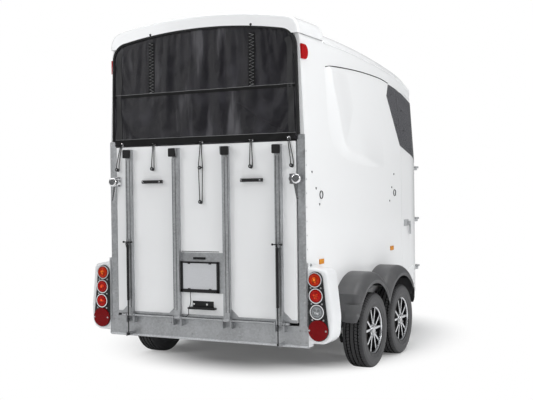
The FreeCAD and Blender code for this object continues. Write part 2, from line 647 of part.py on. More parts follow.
def door_outline():
    """The groom door in side view, with its rear edge slanting over the window."""
    rear, front = mm("door_rear"), mm("door_front")
    top = below_roof("door_top")
    slant_top = rear - mm("door_slant")
    return chain([V(0, rear, mm("door_bottom")), V(0, front, mm("door_bottom")),
                  V(0, front, top - mm("door_front_fall")), V(0, slant_top + mm("door_bend"), top - mm("door_fall")),
                  V(0, slant_top, top), V(0, rear, below_roof("window_low"))])


def smaller(face, distance):
    """A flat outline taken in by a distance."""
    return face.makeOffset2D(-distance, join=2)


window = window_outline(100)
window_hole = smaller(window, mm("window_rim"))
door = door_outline()
door_leaf = smaller(door, mm("door_gap"))
middle = mm("body_half") / 2
door_prism = through_right(door, middle)
leaf_prism = through_right(door_leaf, middle)
hole_right = through_right(window_hole, mm("window_inner") + mm("window_rim"))
door_frame = through_right(smaller(door, mm("window_rim")), middle)
hole_left = hole_right.mirror(V(0, 0, 0), V(1, 0, 0))
pane_prism = through_right(window, mm("window_inner"))

below_seam = under(mm("seam_drop"))
walls = shell.common(below_seam)
hole_fixed = hole_right.cut(through_right(door.makeOffset2D(mm("window_rim"), join=2), middle))
walls_cut = walls.cut(door_prism).cut(hole_fixed).cut(hole_left)
rear_part = block(-TALL, TALL, -100, mm("nose_split"), 0, TALL)
beam_room = block(-TALL, TALL, -10, mm("beam_depth") - mm("beam_back"), 0, mm("beam_high"))
keep(form("side_walls", walls_cut.common(rear_part).cut(beam_room)), "side_walls")
keep(form("nose_shell", walls_cut.cut(rear_part)), "nose_shell")
keep(form("roof_shell", shell.cut(below_seam)), "roof_shell")
keep(form("door_panel", shell.common(leaf_prism).cut(hole_right.common(door_frame))), "door_panel")
pane_right = skin.common(pane_prism)
keep(form("door_window", pane_right.common(leaf_prism)), "door_window")
fixed_panes = pane_right.cut(door_prism).Solids + pane_right.mirror(V(0, 0, 0), V(1, 0, 0)).Solids
keep(form("nose_windows", Part.makeCompound([pane for pane in fixed_panes if pane.Volume > 1000])), "nose_windows")

# The rear doorway: a hood over it, an edge strip round it, and a curtain that fills its upper part.


def arch_solid(reach, low, high, back, front):
    """The doorway's outline, made larger by a reach, between two heights and two lengths."""
    foot = mm("arch_half") + reach
    shoulder = mm("post_top")
    top = foot - mm("arch_lean") * (TALL - shoulder)
    corners = [(-foot, mm("beam_high")), (foot, mm("beam_high")), (foot, shoulder), (top, TALL), (-top, TALL),
               (-foot, shoulder)]
    prism = chain([V(x, back, z) for x, z in corners]).extrude(V(0, front - back, 0))
    radius = mm("crown_radius") + reach
    peak = below_roof("arch_drop") + reach
    crown = Part.makeCylinder(radius, front - back, V(0, back, peak - radius), V(0, 1, 0))
    solid = prism.common(crown).Solids[0]
    edges = [edge for edge in solid.Edges if edge.BoundBox.XLength < 1 and edge.BoundBox.ZLength < 1
             and edge.BoundBox.ZMin > (shoulder + peak) / 2]
    solid = solid.makeFillet(mm("arch_corner") + reach, edges)
    return solid.common(block(-TALL, TALL, back, front, low, high))


def hood_solid(inset):
    """The hood's outside as a full block, taken in by a thickness."""
    half = mm("hood_half") - inset
    back, front = inset - mm("hood_back"), mm("hood_length") - inset
    radius = mm("crown_radius")
    peak = mm("roof_height") + mm("hood_rise") - inset
    crown = Part.makeCylinder(radius, front - back, V(0, back, peak - radius), V(0, 1, 0))
    solid = block(-half, half, back, front, mm("post_top"), TALL).common(crown).Solids[0]
    along = [edge for edge in solid.Edges if edge.BoundBox.XLength < 1 and edge.BoundBox.ZLength < 1
             and edge.BoundBox.ZMin > below_roof("hood_drop")]
    solid = solid.makeFillet(mm("hood_corner") - inset, along)
    rims = [edge for edge in solid.Edges if edge.BoundBox.YLength < 1
            and edge.BoundBox.ZMax > below_roof("hood_drop")]
    return solid.makeFillet(mm("hood_edge") - inset, rims)


hood = hood_solid(0.0).cut(hood_solid(HOOD_SKIN)).cut(outside).cut(inside)
hood = hood.cut(arch_solid(0.0, 0, TALL, -200, 1))
hood = hood.common(block(-TALL, TALL, -200, TALL, below_roof("hood_drop"), TALL))
keep(form("roof_hood", max(hood.Solids, key=lambda solid: solid.Volume)), "roof_hood")
strip = -mm("keder_width")
keder_back = -mm("keder_depth")
strip_ring = arch_solid(0.0, mm("post_top") + 2, TALL, keder_back, 0)
keep(form("curtain_edge", strip_ring.cut(arch_solid(strip, 0, TALL, keder_back - 10, 10))), "curtain_edge")
curtain_back = keder_back + (mm("keder_depth") - mm("curtain_depth")) / 2
curtain = arch_solid(strip, mm("curtain_bottom"), TALL, curtain_back, curtain_back + mm("curtain_depth"))
keep(form("rear_curtain", curtain), "rear_curtain")

# The galvanised frame under and behind the body.

deck = form("deck", plan_face(mm("wall"), mm("deck_top") - mm("deck_thick")).extrude(V(0, 0, mm("deck_thick"))))
keep(cut("deck_cut", deck, box("deck_end", ("-body_half", "body_half"), ("-beam_back", BEAM_FRONT),
                               ("0", "deck_top + deck_thick"))), "floor")

RAIL_LOW = f"{RAIL_TOP} - rail_height"
RAIL_X = ("rail_half - rail_width / 2", "rail_half + rail_width / 2")
rail = cut("rail", box("rail_outer", RAIL_X, (BEAM_FRONT, "rail_end"), (RAIL_LOW, RAIL_TOP)),
           box("rail_hollow", ("rail_half - rail_width / 2 + sheet", "rail_half + rail_width / 2 - sheet"),
               ("0", "rail_end + sheet"), (f"{RAIL_LOW} + sheet", f"{RAIL_TOP} - sheet")))
# Each cross member: its name and the length of its rear face.
CROSS = [("cross_rear", "cross_first"), ("cross_second", "axle_rear + arm_length + cross_gap"),
         ("cross_front", "rail_end - cross_wide")]
members = [box(name, ("rail_width / 2 - rail_half", "rail_half - rail_width / 2"), (along, f"{along} + cross_wide"),
               (f"{RAIL_TOP} - cross_tall", RAIL_TOP)) for name, along in CROSS]
keep(fuse("chassis", rail, mirrored(rail), *members), "chassis_rails")

beam = padded("beam_channel", "YZ_Plane", [
    ("-beam_back", "beam_low"), (BEAM_FRONT, "beam_low"), (BEAM_FRONT, "beam_low + sheet"),
    ("sheet - beam_back", "beam_low + sheet"), ("sheet - beam_back", "beam_high - sheet"),
    (BEAM_FRONT, "beam_high - sheet"), (BEAM_FRONT, "beam_high"), ("-beam_back", "beam_high")],
    "2 * beam_half", True)
keep(beam, "rear_beam")

channel = place(padded("post_channel", "XY_Plane", [
    ("body_half - post_width", "post_depth"), ("body_half - post_width", "-post_back"), ("body_half", "-post_back"),
    ("body_half", "0"), ("body_half - sheet", "0"), ("body_half - sheet", "sheet - post_back"),
    ("body_half - post_width + sheet", "sheet - post_back"), ("body_half - post_width + sheet", "post_depth")],
    "post_top - beam_high"), "0", "0", "beam_high")
keeper = box("latch_keeper", ("body_half - post_width + sheet", "body_half - sheet"),
             ("-post_back - sheet", "-post_back"), ("latch_height - latch_half", "latch_height + latch_half"))
keep(pair("posts", fuse("post", channel, keeper)), "rear_posts")

# The drawbar: two arms that meet ahead of the nose, carrying the overrun device and the coupling.

ARM_START = "rail_end - arm_overlap"
BALL = "(nose_start + nose_radius + ball_ahead)"
ARM_TIP = f"({BALL} - tip_setback)"
ARM_LOW = f"{RAIL_LOW} - rail_height"
arms = place(padded("arms_outer", "XY_Plane", [
    ("-rail_half - rail_width / 2", ARM_START), ("rail_width / 2 - rail_half", ARM_START),
    ("0", f"{ARM_TIP} - arm_fork"), ("rail_half - rail_width / 2", ARM_START),
    ("rail_half + rail_width / 2", ARM_START), ("tip_half", ARM_TIP), ("-tip_half", ARM_TIP)],
    "rail_height"), "0", "0", ARM_LOW)
hollow = place(padded("arms_inner", "XY_Plane", [
    ("-rail_half - rail_width / 2 + 2 * sheet", f"{ARM_START} + sheet"),
    ("rail_width / 2 - rail_half - 2 * sheet", f"{ARM_START} + sheet"),
    ("0", f"{ARM_TIP} - arm_fork + 5 * sheet"), ("rail_half - rail_width / 2 + 2 * sheet", f"{ARM_START} + sheet"),
    ("rail_half + rail_width / 2 - 2 * sheet", f"{ARM_START} + sheet"),
    ("tip_half - 1.5 * sheet", f"{ARM_TIP} - sheet"), ("1.5 * sheet - tip_half", f"{ARM_TIP} - sheet")],
    "rail_height"), "0", "0", f"{ARM_LOW} - sheet")
keep(cut("arms", arms, hollow), "drawbar")

# Wheels and axles. One tyre, rim and drum are made about the X axis with the outer face towards +X,
# and each wheel has its own copy, turned round on the left side.

FLANK = "tyre_width / 2"
BEAD = "rim_width / 2"
half_section = [
    (f"{BEAD} - 2.5", "rim_seat"), (f"{BEAD} - 2", "rim_radius"), (FLANK, "tyre_radius - tyre_flank"),
    (FLANK, "tyre_radius - tyre_shoulder"), (f"{FLANK} - 8", "tyre_radius - 0.4 * tyre_shoulder"),
    (f"{FLANK} - 26", "tyre_radius - 5"), ("0.2 * tyre_width", "tyre_radius - 1")]
half_hollow = [
    (f"{FLANK} - 30", "tyre_radius - tyre_tread"), (f"{FLANK} - 10", "tyre_radius - tyre_shoulder"),
    (f"{FLANK} - 10", "tyre_radius - tyre_flank"), (f"{BEAD} - 11", "rim_seat")]


def other_side(corners):
    """The same corners mirrored across the wheel's middle, in the opposite order."""
    return [(f"-({x})", r) for x, r in reversed(corners)]


tyre = turned("tyre", half_section + [("0", "tyre_radius")] + other_side(half_section)
              + other_side(half_hollow) + half_hollow)
barrel = turned("barrel", [
    (f"-{BEAD} - 4", "rim_radius"), (f"2 - {BEAD}", "rim_radius"), (f"2 - {BEAD}", "rim_seat - seat_gap"),
    (f"{BEAD} - 2", "rim_seat - seat_gap"), (f"{BEAD} - 2", "rim_radius"), (f"{BEAD} + rim_lip", "rim_radius"),
    (f"{BEAD} + rim_lip", "rim_radius - 6"), (BEAD, "rim_well + 2"), (f"{BEAD} - 12", "rim_well"),
    (f"12 - {BEAD}", "rim_well"), (f"-{BEAD}", "rim_well + 2"), (f"-{BEAD} - 4", "rim_radius - 8")])
star = turned("hub", [("hub_back", "0"), ("hub_face", "0"), ("hub_face", "hub_radius - 14"),
                      ("hub_face - 6", "hub_radius"), ("hub_back", "hub_radius")])
spokes = []
for lean in ("", "-"):
    sketch = outline(star, "YZ_Plane", [
        (f"{lean}(spoke_root - spoke_half)", "spoke_inner"), (f"{lean}(spoke_root + spoke_half)", "spoke_inner"),
        (f"{lean}(spoke_reach + spoke_half - 1)", "spoke_outer - 5"),
        (f"{lean}(spoke_reach - spoke_half + 1)", "spoke_outer")], "spoke_outline", "hub_face - spoke_thick")
    spokes.append(pad(star, sketch, "spoke_thick", "spoke"))
pattern = star.newObject("PartDesign::PolarPattern", "spoke_pattern")
pattern.Originals = spokes
pattern.Axis = (origin_plane(star, "X_Axis"), [""])
pattern.Angle = 360
pattern.Occurrences = 5
star.Tip = pattern
rim = fuse("rim", barrel, star)
STUB_BORE = "stub_radius + running_gap"
drum = turned("drum", [
    ("-drum_depth", "drum_radius - drum_wall"), ("-drum_depth", "drum_radius"), ("hub_back - 4", "drum_radius"),
    ("hub_back", "drum_radius - drum_wall"), ("hub_back", STUB_BORE), ("6 - drum_depth", STUB_BORE),
    ("6 - drum_depth", "2 * stub_radius"), ("hub_back - 14", "2 * stub_radius + 4"),
    ("hub_back - 14", "drum_radius - drum_wall")])

# Each wheel: its name, its side and the length of its axle.
WHEELS = [("rear_left", -1, "axle_rear"), ("rear_right", 1, "axle_rear"),
          ("front_left", -1, "axle_rear + axle_spacing"), ("front_right", 1, "axle_rear + axle_spacing")]
for name, side, along in WHEELS:
    for kind, master in (("tyre", tyre), ("rim", rim), ("drum", drum)):
        copy = group(f"{kind}_{name}", master)
        if side < 0:
            copy.Placement.Rotation = FreeCAD.Rotation(V(0, 0, 1), 180)
        keep(place(copy, "track_half" if side > 0 else "-track_half", along, WHEEL), f"{kind}_{name}")

for name, along in (("rear", "axle_rear"), ("front", "axle_rear + axle_spacing")):
    tube_at = f"{along} + arm_length"
    tube = rod(f"tube_{name}", "x", ("-arm_out", "arm_out"), tube_at, WHEEL, "axle_radius")
    half = fuse(
        f"axle_end_{name}",
        box(f"arm_{name}", ("arm_out", "arm_out + arm_thick"), (f"{along} - arm_half", f"{tube_at} + axle_radius - 8"),
            (f"{WHEEL} - arm_half", f"{WHEEL} + arm_half")),
        rod(f"stub_{name}", "x", ("arm_out + arm_thick", "track_half + hub_back - 4"), along, WHEEL, "stub_radius"),
        rod(f"shield_{name}", "x", ("shield_out", "shield_out + shield_thick"), along, WHEEL,
            "drum_radius - drum_wall + 4"))
    seat = box(f"seat_{name}", RAIL_X, (f"{tube_at} - axle_radius - 7", f"{tube_at} + axle_radius + 7"),
               (f"{WHEEL} + axle_radius / 2", RAIL_LOW))
    bore = rod(f"tube_bore_{name}", "x", ("tube_wall - arm_out", "arm_out - tube_wall"), tube_at, WHEEL,
               "axle_radius - tube_wall")
    solid = fuse(f"axle_solid_{name}", tube, half, mirrored(half), seat, mirrored(seat))
    keep(cut(f"axle_cut_{name}", solid, bore), f"axle_{name}")

# Mudguards: one long moulding over both wheels of a side, open below.

AXLES = [("rear", "axle_rear"), ("front", "axle_rear + axle_spacing")]

GUARD_OUTER = "(track_half + tyre_width / 2 + guard_over)"


def guard_form(kind, inset, near, low):
    """The mudguard's outside as a full block, taken in by a thickness."""
    reach = (near, f"{GUARD_OUTER} - {inset}")
    ends = ("axle_rear - guard_end", "axle_rear + axle_spacing + guard_end")
    ends = (f"{ends[0]} + {inset}", f"{ends[1]} - {inset}")
    crest = [rod(f"crest_{end}_{kind}", "x", reach, along, WHEEL, f"tyre_radius + guard_crest - {inset}")
             for end, along in AXLES]
    limit = box(f"crest_limit_{kind}", reach, ends, (low, f"{WHEEL} + 2 * tyre_radius"))
    foot = box(f"guard_foot_{kind}", reach, ends, (low, f"{WHEEL} + guard_shoulder - {inset}"))
    solid = fuse(f"guard_solid_{kind}", common(f"crest_{kind}", fuse(f"crests_{kind}", *crest), limit), foot)
    thin = mm("guard_skin") if inset != "0" else 0.0
    far = mm("track_half") + mm("tyre_width") / 2 + mm("guard_over") - thin
    large, small = mm("guard_round") - thin, mm("guard_corner") - thin

    def radii(edge):
        limits = edge.BoundBox
        if limits.XLength > 1 or limits.XMin < far - 1:
            return None
        if limits.ZMax > 2 * mm("tyre_radius") - mm("datum_height") and limits.YLength > 5:
            return (large, large)
        if limits.ZLength < 100:
            return None
        upwards = edge.Vertexes[0].Z < edge.Vertexes[-1].Z
        if edge.Orientation == "Reversed":
            upwards = not upwards
        return (small, large) if upwards else (large, small)

    return rounded(f"guard_{kind}", solid, radii)


lips = [rod(f"lip_{end}", "x", (f"{GUARD_OUTER} - 100", f"{GUARD_OUTER} + 100"), along, WHEEL, "tyre_radius + guard_lip")
        for end, along in AXLES]
guard = cut("guard", guard_form("outer", "0", "body_half", "guard_low"),
            guard_form("inner", "guard_skin", "body_half - 20", "guard_low - 50"), *lips)
keep(pair("guards", guard), "mudguards")

# Lamps at the rear corners and reflectors on the sides.

LAMP_Z = "(pod_high - lamp_drop)"
REFLECTOR_Z = "(pod_low + reflector_rise)"
# Each lamp: its distance from the centre line, its height and its radius.
LAMPS = [(f"pod_inner + lamp_inset + lamp_step * {i}", f"{LAMP_Z} - lamp_share * ({LAMP_Z} - {REFLECTOR_Z}) * {i}",
          "lamp_radius") for i in range(3)]
LAMPS.append(("pod_inner + reflector_inset", REFLECTOR_Z, "reflector_radius"))


def pod_form(kind, inset):
    """A lamp pod as a full block, taken in by a thickness."""
    wide = f"pod_inner + pod_width - {inset}"
    solid = place(padded("pod_block_" + kind, "XZ_Plane", [
        (f"pod_inner + {inset}", f"pod_low + {inset}"), (f"{wide} - pod_foot", f"pod_low + {inset}"),
        (wide, "pod_low + pod_waist"), (f"{wide} - pod_lean", f"pod_high - pod_fall - {inset}"),
        (f"pod_inner + {inset}", f"pod_high - {inset}")], f"pod_depth - 2 * {inset}"),
        "0", f"pod_depth - pod_back - {inset}", "0")
    thin = mm("pod_wall") if inset != "0" else 0.0
    inner = mm("pod_inner") + thin

    def corner(edge):
        limits = edge.BoundBox
        if limits.YLength < 1 or limits.XMin < inner + 1:
            return None
        rise = (limits.ZMin - mm("pod_low")) / (mm("pod_high") - mm("pod_low"))
        size = "pod_foot_round" if rise < 0.1 else "pod_top_round" if rise > 0.9 else "pod_waist_round"
        return (mm(size) - thin, mm(size) - thin)

    def rim(edge):
        limits = edge.BoundBox
        return (mm("pod_round") - thin,) * 2 if limits.YLength < 1 and limits.XMax > inner + 1 else None

    return rounded("pod_" + kind, rounded("pod_corners_" + kind, solid, corner), rim)


tab = box("pod_tab", ("body_half", "pod_inner"), ("pod_back + 46", "pod_back + 126"), ("pod_high - 330", "pod_high - 230"))
flange = box("pod_flange", ("pod_inner", "pod_inner + pod_wall"), ("-pod_back", "flange_deep - pod_back"),
             ("flange_low", "flange_high"))
keep(pair("pods", fuse("pod", cut("pod_shell", pod_form("outer", "0"), pod_form("inner", "pod_wall")), tab, flange)),
     "lamp_housings")
(top_x, top_z, top_size), (low_x, low_z, low_size) = LAMPS[0], LAMPS[3]
SPAN = ("-pod_back - carrier_thick", "-pod_back")
between = place(padded("carrier_middle", "XZ_Plane", [
    (f"{top_x} - {top_size} - 0.9 * carrier_edge", top_z), (f"{low_x} - {low_size} - 0.9 * carrier_edge", low_z),
    (f"{low_x} + {low_size} + 0.9 * carrier_edge", low_z), (f"{top_x} + {top_size} + 0.9 * carrier_edge", top_z)],
    "carrier_thick"), "0", "-pod_back", "0")
keep(pair("carriers", fuse("carrier", between,
                           rod("carrier_top", "y", top_x, SPAN, top_z, f"{top_size} + carrier_edge"),
                           rod("carrier_low", "y", low_x, SPAN, low_z, f"{low_size} + carrier_edge"))),
     "lamp_carriers")
LAMP_BACK = "(-pod_back - carrier_thick)"
rings, lenses = [], []
for number, (out, height, radius) in enumerate(LAMPS, 1):
    if radius == "reflector_radius":
        lenses.append(rod("reflector", "y", out, (f"{LAMP_BACK} - lens_proud", LAMP_BACK), height, radius))
        continue
    outer = rod(f"ring_outer_{number}", "y", out, (f"{LAMP_BACK} - ring_proud", LAMP_BACK), height, radius)
    inner = rod(f"ring_inner_{number}", "y", out, (f"{LAMP_BACK} - 2 * ring_proud", f"{LAMP_BACK} + ring_proud"),
                height, f"{radius} - lamp_rim")
    rings.append(cut(f"ring_{number}", outer, inner))
    lenses.append(rod(f"lens_{number}", "y", out, (f"{LAMP_BACK} - lens_proud", LAMP_BACK), height,
                      f"{radius} - lamp_rim"))
keep(pair("rings", group("rings_right", *rings)), "lamp_rings")
keep(pair("lenses", group("lenses_right", *lenses)), "lamp_lenses")
MARKER_X = ("body_half - wall", "marker_out")
MARKER_Z = "(roof_height - marker_drop)"
marker = fuse("marker", rod("marker_round", "x", MARKER_X, "marker_along", MARKER_Z, "marker_radius"),
              box("marker_square", MARKER_X, ("4", "marker_along"),
                  (f"{MARKER_Z} - marker_radius", f"{MARKER_Z} + marker_radius")))
keep(pair("markers", cut("marker_cut", marker, body_form)), "marker_lamps")
side_lamps = [box(name, ("body_half", "body_half + side_lamp_proud"),
                  (f"{along} - side_lamp_long / 2", f"{along} + side_lamp_long / 2"),
                  ("side_lamp_height - side_lamp_tall / 2", "side_lamp_height + side_lamp_tall / 2"))
              for name, along in (("side_lamp_a", "side_lamp_rear"), ("side_lamp_b", "side_lamp_front"))]
keep(pair("side_lamps", group("side_lamps_right", *side_lamps)), "side_reflectors")

# The ramp with its ribs, hinge knuckles and fittings.

keep(place(padded("ramp", "XY_Plane", [
    ("-ramp_half", "-ramp_out"), ("ramp_half", "-ramp_out"), ("ramp_half", "ramp_thick - ramp_out"),
    ("-ramp_half", "ramp_thick - ramp_out")], "ramp_high - ramp_low"), "0", "0", "ramp_low"), "ramp_panel")

frame_parts, brackets = [], []
for number, at in ((1, "rib_pitch * 0.5"), (2, "rib_pitch * 1.5")):
    left, right = f"{at} - rib_width / 2", f"{at} + rib_width / 2"
    channel = cut(f"rib_{number}", box(f"rib_outer_{number}", (left, right), (RIB_FACE, RAMP_FACE),
                                       ("ramp_low + 16", "rib_top")),
                  box(f"rib_hollow_{number}", (f"{left} + 3", f"{right} - 3"), (f"{RIB_FACE} + 3", f"{RAMP_FACE} + 1"),
                      ("ramp_low + 40", "rib_top - 3")))
    gusset = padded(f"gusset_{number}", "XZ_Plane", [
        (f"{right} - 2", "ramp_low"), (f"{right} + gusset_width", "ramp_low"),
        (f"{right} + gusset_width", "ramp_low + 20"), (f"{right} - 2", "ramp_low + gusset_height")], "sheet")
    hook = place(padded(f"rib_foot_{number}", "YZ_Plane", [
        (RAMP_FACE, "rib_top"), (f"{FOOT_FACE} + foot_fold", "rib_top"),
        (f"{FOOT_FACE} + foot_curl + foot_fold", "rib_top - foot_drop"),
        (f"{FOOT_FACE} + foot_curl", "rib_top - foot_drop"), (FOOT_FACE, "rib_top - foot_fold"),
        (f"{FOOT_FACE} + foot_fold", "rib_top + foot_fold"), (RAMP_FACE, "rib_top + foot_fold")],
        "rib_width + 2 * sheet"), f"{left} - sheet")
    frame_parts += [
        channel, place(gusset, "0", RAMP_FACE, "0"), hook,
        rod(f"knuckle_{number}", "x", (left, right), "hinge_along", "hinge_height", "knuckle_radius"),
        box(f"web_{number}", (left, right), ("hinge_along - 6", RAMP_FACE), ("hinge_height + 8", "ramp_low + 40"))]
    for end, near in (("a", f"{left} - lug_gap - lug_thick"), ("b", f"{right} + lug_gap")):
        span = (near, f"{near} + lug_thick")
        brackets += [
            rod(f"lug_eye_{number}{end}", "x", span, "hinge_along", "hinge_height", "lug_radius"),
            box(f"lug_arm_{number}{end}", span, ("hinge_along - 10", "-beam_back"),
                ("beam_high - lug_depth", "beam_high - 2")),
            box(f"lug_neck_{number}{end}", span, ("hinge_along - 10", "hinge_along + 10"),
                ("beam_high - lug_depth", "hinge_height"))]
CHEEK_X = ("strut_out + cheek_gap", "strut_out + cheek_gap + cheek_thick")
frame_parts += [
    rod("strut_stud", "x", ("strut_out - strut_eye_half", "strut_out + cheek_gap + cheek_thick"), "-strut_behind",
        "strut_top", "strut_pin"),
    box("strut_cheek", CHEEK_X, ("-strut_behind - strut_eye", RIB_FACE),
        ("strut_top - cheek_half", "strut_top + cheek_half"))]
half_frame = fuse("half_frame", *frame_parts)
rail = box("ramp_rail", ("-ramp_half", "ramp_half"), (f"{RAMP_FACE} - sheet", RAMP_FACE), ("ramp_low", "ramp_low + 22"))
backing = box("plate_backing", ("rib_width / 2 - rib_pitch / 2", "rib_pitch / 2 - rib_width / 2"),
              (f"{RAMP_FACE} - backing_thick", RAMP_FACE), ("backing_low", "backing_high"))
hinge_bore = rod("hinge_bore", "x", ("-body_half", "body_half"), "hinge_along", "hinge_height",
                 "hinge_rod + running_gap")
keep(cut("ramp_frame", fuse("frame_solid", half_frame, mirrored(half_frame), rail, backing), hinge_bore), "ramp_frame")
hinge = rod("hinge", "x", ("-hinge_half", "hinge_half"), "hinge_along", "hinge_height", "hinge_rod")
half_brackets = fuse("half_brackets", *brackets)
strut_plate = box("strut_plate", CHEEK_X, ("-strut_foot_behind - strut_eye - 3", "-beam_back"),
                  ("strut_low - cheek_half", "strut_low + cheek_half"))
keep(group("brackets", fuse("hinge_with_lugs", hinge, half_brackets, mirrored(half_brackets)), strut_plate,
           mirrored(strut_plate)), "rear_brackets")

GRIP_X = ("handle_out - handle_width / 2", "handle_out + handle_width / 2")
grip = box("grip_full", GRIP_X, (f"{RAMP_FACE} - handle_deep", RAMP_FACE),
           ("handle_height - handle_half", "handle_height + handle_half"))
grip_round = rounded("grip_round", grip, lambda edge: (mm("handle_round"),) * 2
                     if edge.BoundBox.YMax < -mm("ramp_out") - mm("handle_deep") + 4 else None)
grip_hollow = box("grip_hollow", (f"{GRIP_X[0]} + handle_foot", f"{GRIP_X[1]} - handle_foot"),
                  (f"{RAMP_FACE} - handle_foot", f"{RAMP_FACE} + 1"),
                  ("handle_height - 2 * handle_half", "handle_height + 2 * handle_half"))
keep(pair("grips", cut("grip", grip_round, grip_hollow)), "ramp_handles")

PLATE_Y = f"({RAMP_FACE} - backing_thick)"
PLATE_X = ("rib_width / 2 - rib_pitch / 2", "rib_width / 2 - rib_pitch / 2 + plate_width")
PLATE_Z = ("plate_height - plate_tall / 2", "plate_height + plate_tall / 2")
tray = cut("tray", box("tray_full", PLATE_X, (f"{PLATE_Y} - plate_deep", PLATE_Y), PLATE_Z),
           box("tray_hollow", (f"{PLATE_X[0]} + plate_edge", f"{PLATE_X[1]} - plate_edge"),
               (f"{PLATE_Y} - plate_deep - 1", f"{PLATE_Y} - plate_deep / 2"),
               (f"{PLATE_Z[0]} + plate_edge", f"{PLATE_Z[1]} - plate_edge")))
keep(tray, "plate_frame")
keep(box("plate", (f"{PLATE_X[0]} + plate_edge + 1", f"{PLATE_X[1]} - plate_edge - 1"),
         (f"{PLATE_Y} - plate_deep / 2 - plate_thick", f"{PLATE_Y} - plate_deep / 2"),
         (f"{PLATE_Z[0]} + plate_edge + 1", f"{PLATE_Z[1]} - plate_edge - 1")), "number_plate")
keep(fuse("shelf_with_back",
          box("shelf", ("-shelf_half", "shelf_half"), (f"{RAMP_FACE} - shelf_deep", RAMP_FACE),
              ("shelf_low", "shelf_low + shelf_tall")),
          box("shelf_back", ("-shelf_back_half", "shelf_back_half"), (f"{RAMP_FACE} - shelf_back_thick", RAMP_FACE),
              ("shelf_low", "shelf_back_high"))), "plate_lamp")

# Each knob: its distance from the centre line and its height.
KNOBS = [("-knob_outer", "knob_height"), ("-knob_inner", "knob_height"), ("0", "knob_height"),
         ("knob_inner", "knob_height"), ("knob_outer", "knob_height"), ("0", "knob_single")]
knobs = []
for number, (out, height) in enumerate(KNOBS, 1):
    neck = rod(f"knob_neck_{number}", "y", out, (f"{RAMP_FACE} - knob_long", RAMP_FACE), height, "knob_neck")
    head = rod(f"knob_head_{number}", "y", out, (f"{RAMP_FACE} - knob_long - knob_head", f"{RAMP_FACE} - knob_long"),
               height, "knob_radius")
    knobs.append(fuse(f"knob_{number}", neck, head))
keep(group("knobs", *knobs), "ramp_knobs")

CAM_BACK = f"({RAMP_FACE} - latch_base)"
CAM_FRONT = f"({CAM_BACK} - latch_cam_thick)"
cam = rod("latch_drum", "y", "latch_out", (CAM_FRONT, CAM_BACK), "latch_height", "latch_cam")
cam_round = rounded("latch_cam_round", cam, lambda edge: (mm("latch_round"),) * 2
                    if edge.BoundBox.YMax < -mm("ramp_out") - mm("latch_base") - 1 and edge.BoundBox.XLength > 1
                    else None)
lever = place(padded("latch_lever", "XZ_Plane", [
    ("latch_out - latch_nose - latch_handle / 2", "latch_height"), ("latch_out - latch_handle / 2", "latch_height"),
    ("latch_out + latch_handle", "latch_height - latch_drop"), ("latch_out", "latch_height - latch_drop")],
    "latch_handle_thick"), "0", f"{CAM_BACK} - 6", "0")
latch = fuse(
    "latch",
    box("latch_plate", ("ramp_half - latch_wide", "ramp_half"), (CAM_BACK, RAMP_FACE),
        ("latch_height - latch_half", "latch_height + latch_half")),
    cam_round, lever,
    rod("latch_nose_drum", "y", "latch_out - latch_nose_in", (f"{CAM_FRONT} + 8", CAM_BACK), "latch_height",
        "latch_nose"))
keep(pair("latches", latch), "ramp_latches")

# Gas struts, made hanging down from the upper eye and then swung to meet the beam's plate.

swing = math.degrees(math.atan2(mm("strut_behind") - mm("strut_foot_behind"), mm("strut_top") - mm("strut_low")))
STRUT_LONG = "sqrt((strut_foot_behind - strut_behind) ^ 2 + (strut_top - strut_low) ^ 2)"
barrel = fuse(
    "strut_solid",
    rod("strut_tube", "z", "0", "0", ("-strut_start - strut_body", "-strut_start"), "strut_radius"),
    rod("strut_neck", "z", "0", "0", ("-strut_start - 4", "-strut_eye / 2"), "strut_rod + 2"),
    rod("strut_top_eye", "x", ("-strut_eye_half", "strut_eye_half"), "0", "0", "strut_eye"))
barrel = cut("strut_barrel", barrel,
             rod("strut_eye_bore", "x", ("-strut_out / 20", "strut_out / 20"), "0", "0", "strut_pin + running_gap"),
             rod("strut_rod_bore", "z", "0", "0", ("-strut_start - strut_body - 1", "-strut_start - 20"),
                 "strut_rod + running_gap"))
piston = fuse(
    "strut_piston",
    rod("strut_shaft", "z", "0", "0", (f"-{STRUT_LONG}", "-strut_overlap"), "strut_rod"),
    rod("strut_foot", "x", ("-strut_eye_half", "strut_eye_half"), "0", f"-{STRUT_LONG}", "strut_eye"),
    rod("strut_foot_pin", "x", ("strut_eye_half", "2 * strut_eye_half"), "0", f"-{STRUT_LONG}", "strut_pin"))
for name, out, shapes in (("left", "-strut_out", (barrel, mirrored(piston))), ("right", "strut_out", (barrel, piston))):
    for kind, shape in zip(("cylinder", "rod"), shapes):
        hung = group(f"strut_{kind}_{name}", shape)
        hung.Placement.Rotation = FreeCAD.Rotation(V(1, 0, 0), swing)
        keep(place(hung, out, "-strut_behind", "strut_top"), f"strut_{kind}_{name}")

# The groom door's hinges and handle.

